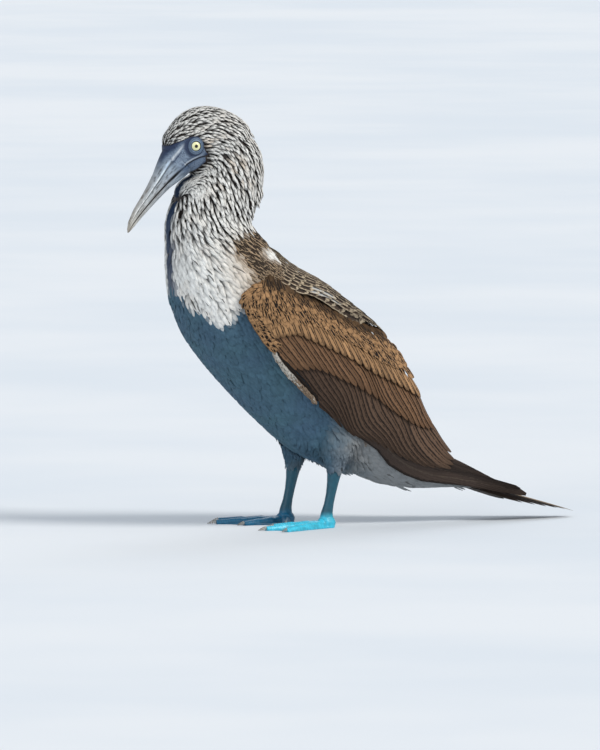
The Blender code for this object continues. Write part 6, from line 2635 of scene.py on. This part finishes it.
@dataclass
class Studio:
    """Floor, light and camera."""

    lens: float = 600.0
    view_height: float = 0.825
    azimuth: float = math.radians(68)
    elevation: float = math.radians(4)
    centre: tuple[float, float, float] = (0, ORIGIN_SHIFT, 0.1661)
    floor_reach: float = 60.0

    def floor(self) -> None:
        """Builds a plain pale floor that reaches far past every view of the bird."""
        made, graph, shader = Finish("floor", roughness=0.85, specular=0.1).start()
        tint = graph.mix(graph.step(graph.noise(1.2), 0.3, 0.7), (0.70, 0.75, 0.81, 1), (0.77, 0.80, 0.84, 1))
        graph.fill(shader, {"Base Color": tint})
        points = np.array([(-1, -1, 0), (1, -1, 0), (1, 1, 0), (-1, 1, 0)], float) * self.floor_reach
        mesh_object("floor", points, np.array([(0, 1, 2), (0, 2, 3)]), made)

    def lamp(self, name: str, place: tuple, spread: float, power: float, colour: Colour) -> None:
        """Sets up a soft light from far away.

        Args:
            name: its name.
            place: the direction that it comes from.
            spread: how wide its disc is, in degrees.
            power: its strength.
            colour: its colour.
        """
        light = bpy.data.lights.new(name, "SUN")
        light.angle, light.energy, light.color = math.radians(spread), power, colour
        made = bpy.data.objects.new(name, light)
        made.rotation_euler = (-Vector(place)).to_track_quat("-Z", "Y").to_euler()
        bpy.context.scene.collection.objects.link(made)

    def camera(self) -> None:
        """Sets up the camera at the photograph's angle."""
        data = bpy.data.cameras.new("camera")
        data.lens, data.sensor_width, data.sensor_fit = self.lens, 36.0, "AUTO"
        distance = self.view_height * self.lens / data.sensor_width
        level = math.cos(self.elevation)
        across = (math.sin(self.azimuth) * level, -math.cos(self.azimuth) * level)
        back = Vector((*across, math.sin(self.elevation)))
        made = bpy.data.objects.new("camera", data)
        made.location = Vector(self.centre) + back * distance
        made.rotation_euler = (-back).to_track_quat("-Z", "Y").to_euler()
        data.clip_end = 50
        bpy.context.scene.collection.objects.link(made)
        bpy.context.scene.camera = made

    def build(self) -> None:
        """Builds the studio."""
        world = bpy.data.worlds.new("studio")
        world.use_nodes = True
        world.node_tree.nodes["Background"].inputs[0].default_value = (0.88, 0.94, 1.0, 1)
        world.node_tree.nodes["Background"].inputs[1].default_value = 0.52
        bpy.context.scene.world = world
        bpy.context.scene.view_settings.view_transform = "Standard"
        self.floor()
        self.lamp("key", (1.5, 1.1, 1.9), 22, 1.95, (1.0, 0.96, 0.90))
        self.lamp("fill", (1.8, -1.6, 0.7), 50, 0.70, (0.84, 0.92, 1.0))
        self.lamp("back", (-1.5, 0.9, 1.5), 30, 0.5, (0.95, 0.97, 1.0))
        self.camera()


def main() -> None:
    """Builds the bird piece by piece."""
    logging.basicConfig(level=logging.INFO, format="%(name)s %(message)s")
    effects = SharedEffects()
    plumage = PlumageFinish("plumage", roughness=0.7, specular=0.18).build(effects)
    looks = {"roughness": 0.5, "specular": 0.4, "dark": (0.45, 0.45, 0.5), "mottle": 0.45}
    bare = GrainFinish("skin", scale=520.0, pores=1500.0, relief=0.0006, **looks).build(effects)
    plan, lie = WingPlan(), Lie()
    mantle = Mantle(plumage)
    skin = Skin(bare, plan, mantle, lie).build()
    mantle.build()
    Wings(plan, plumage).build()
    Tail(plumage).build()
    BodyPlumage(Ground(skin), lie, plumage).build()
    horn = GrainFinish("bill horn", roughness=0.42, specular=0.5, scale=420.0, relief=0.0003).build(effects)
    Bill(horn).build()
    eye = EyeFinish("eye", roughness=0.3, coat=0.4).build()
    lid = GrainFinish("lid skin", roughness=0.45, scale=500.0, relief=0.0003).build(effects)
    Eyes(eye, lid).build()
    web = GrainFinish("web skin", roughness=0.38, coat=0.15, scale=260.0, relief=0.0005).build(effects)
    claw = GrainFinish("claw horn", roughness=0.35, coat=0.2, scale=400.0, relief=0.0002).build(effects)
    Feet(web, claw).build()
    Studio().build()


if __name__ == "__main__":
    main()
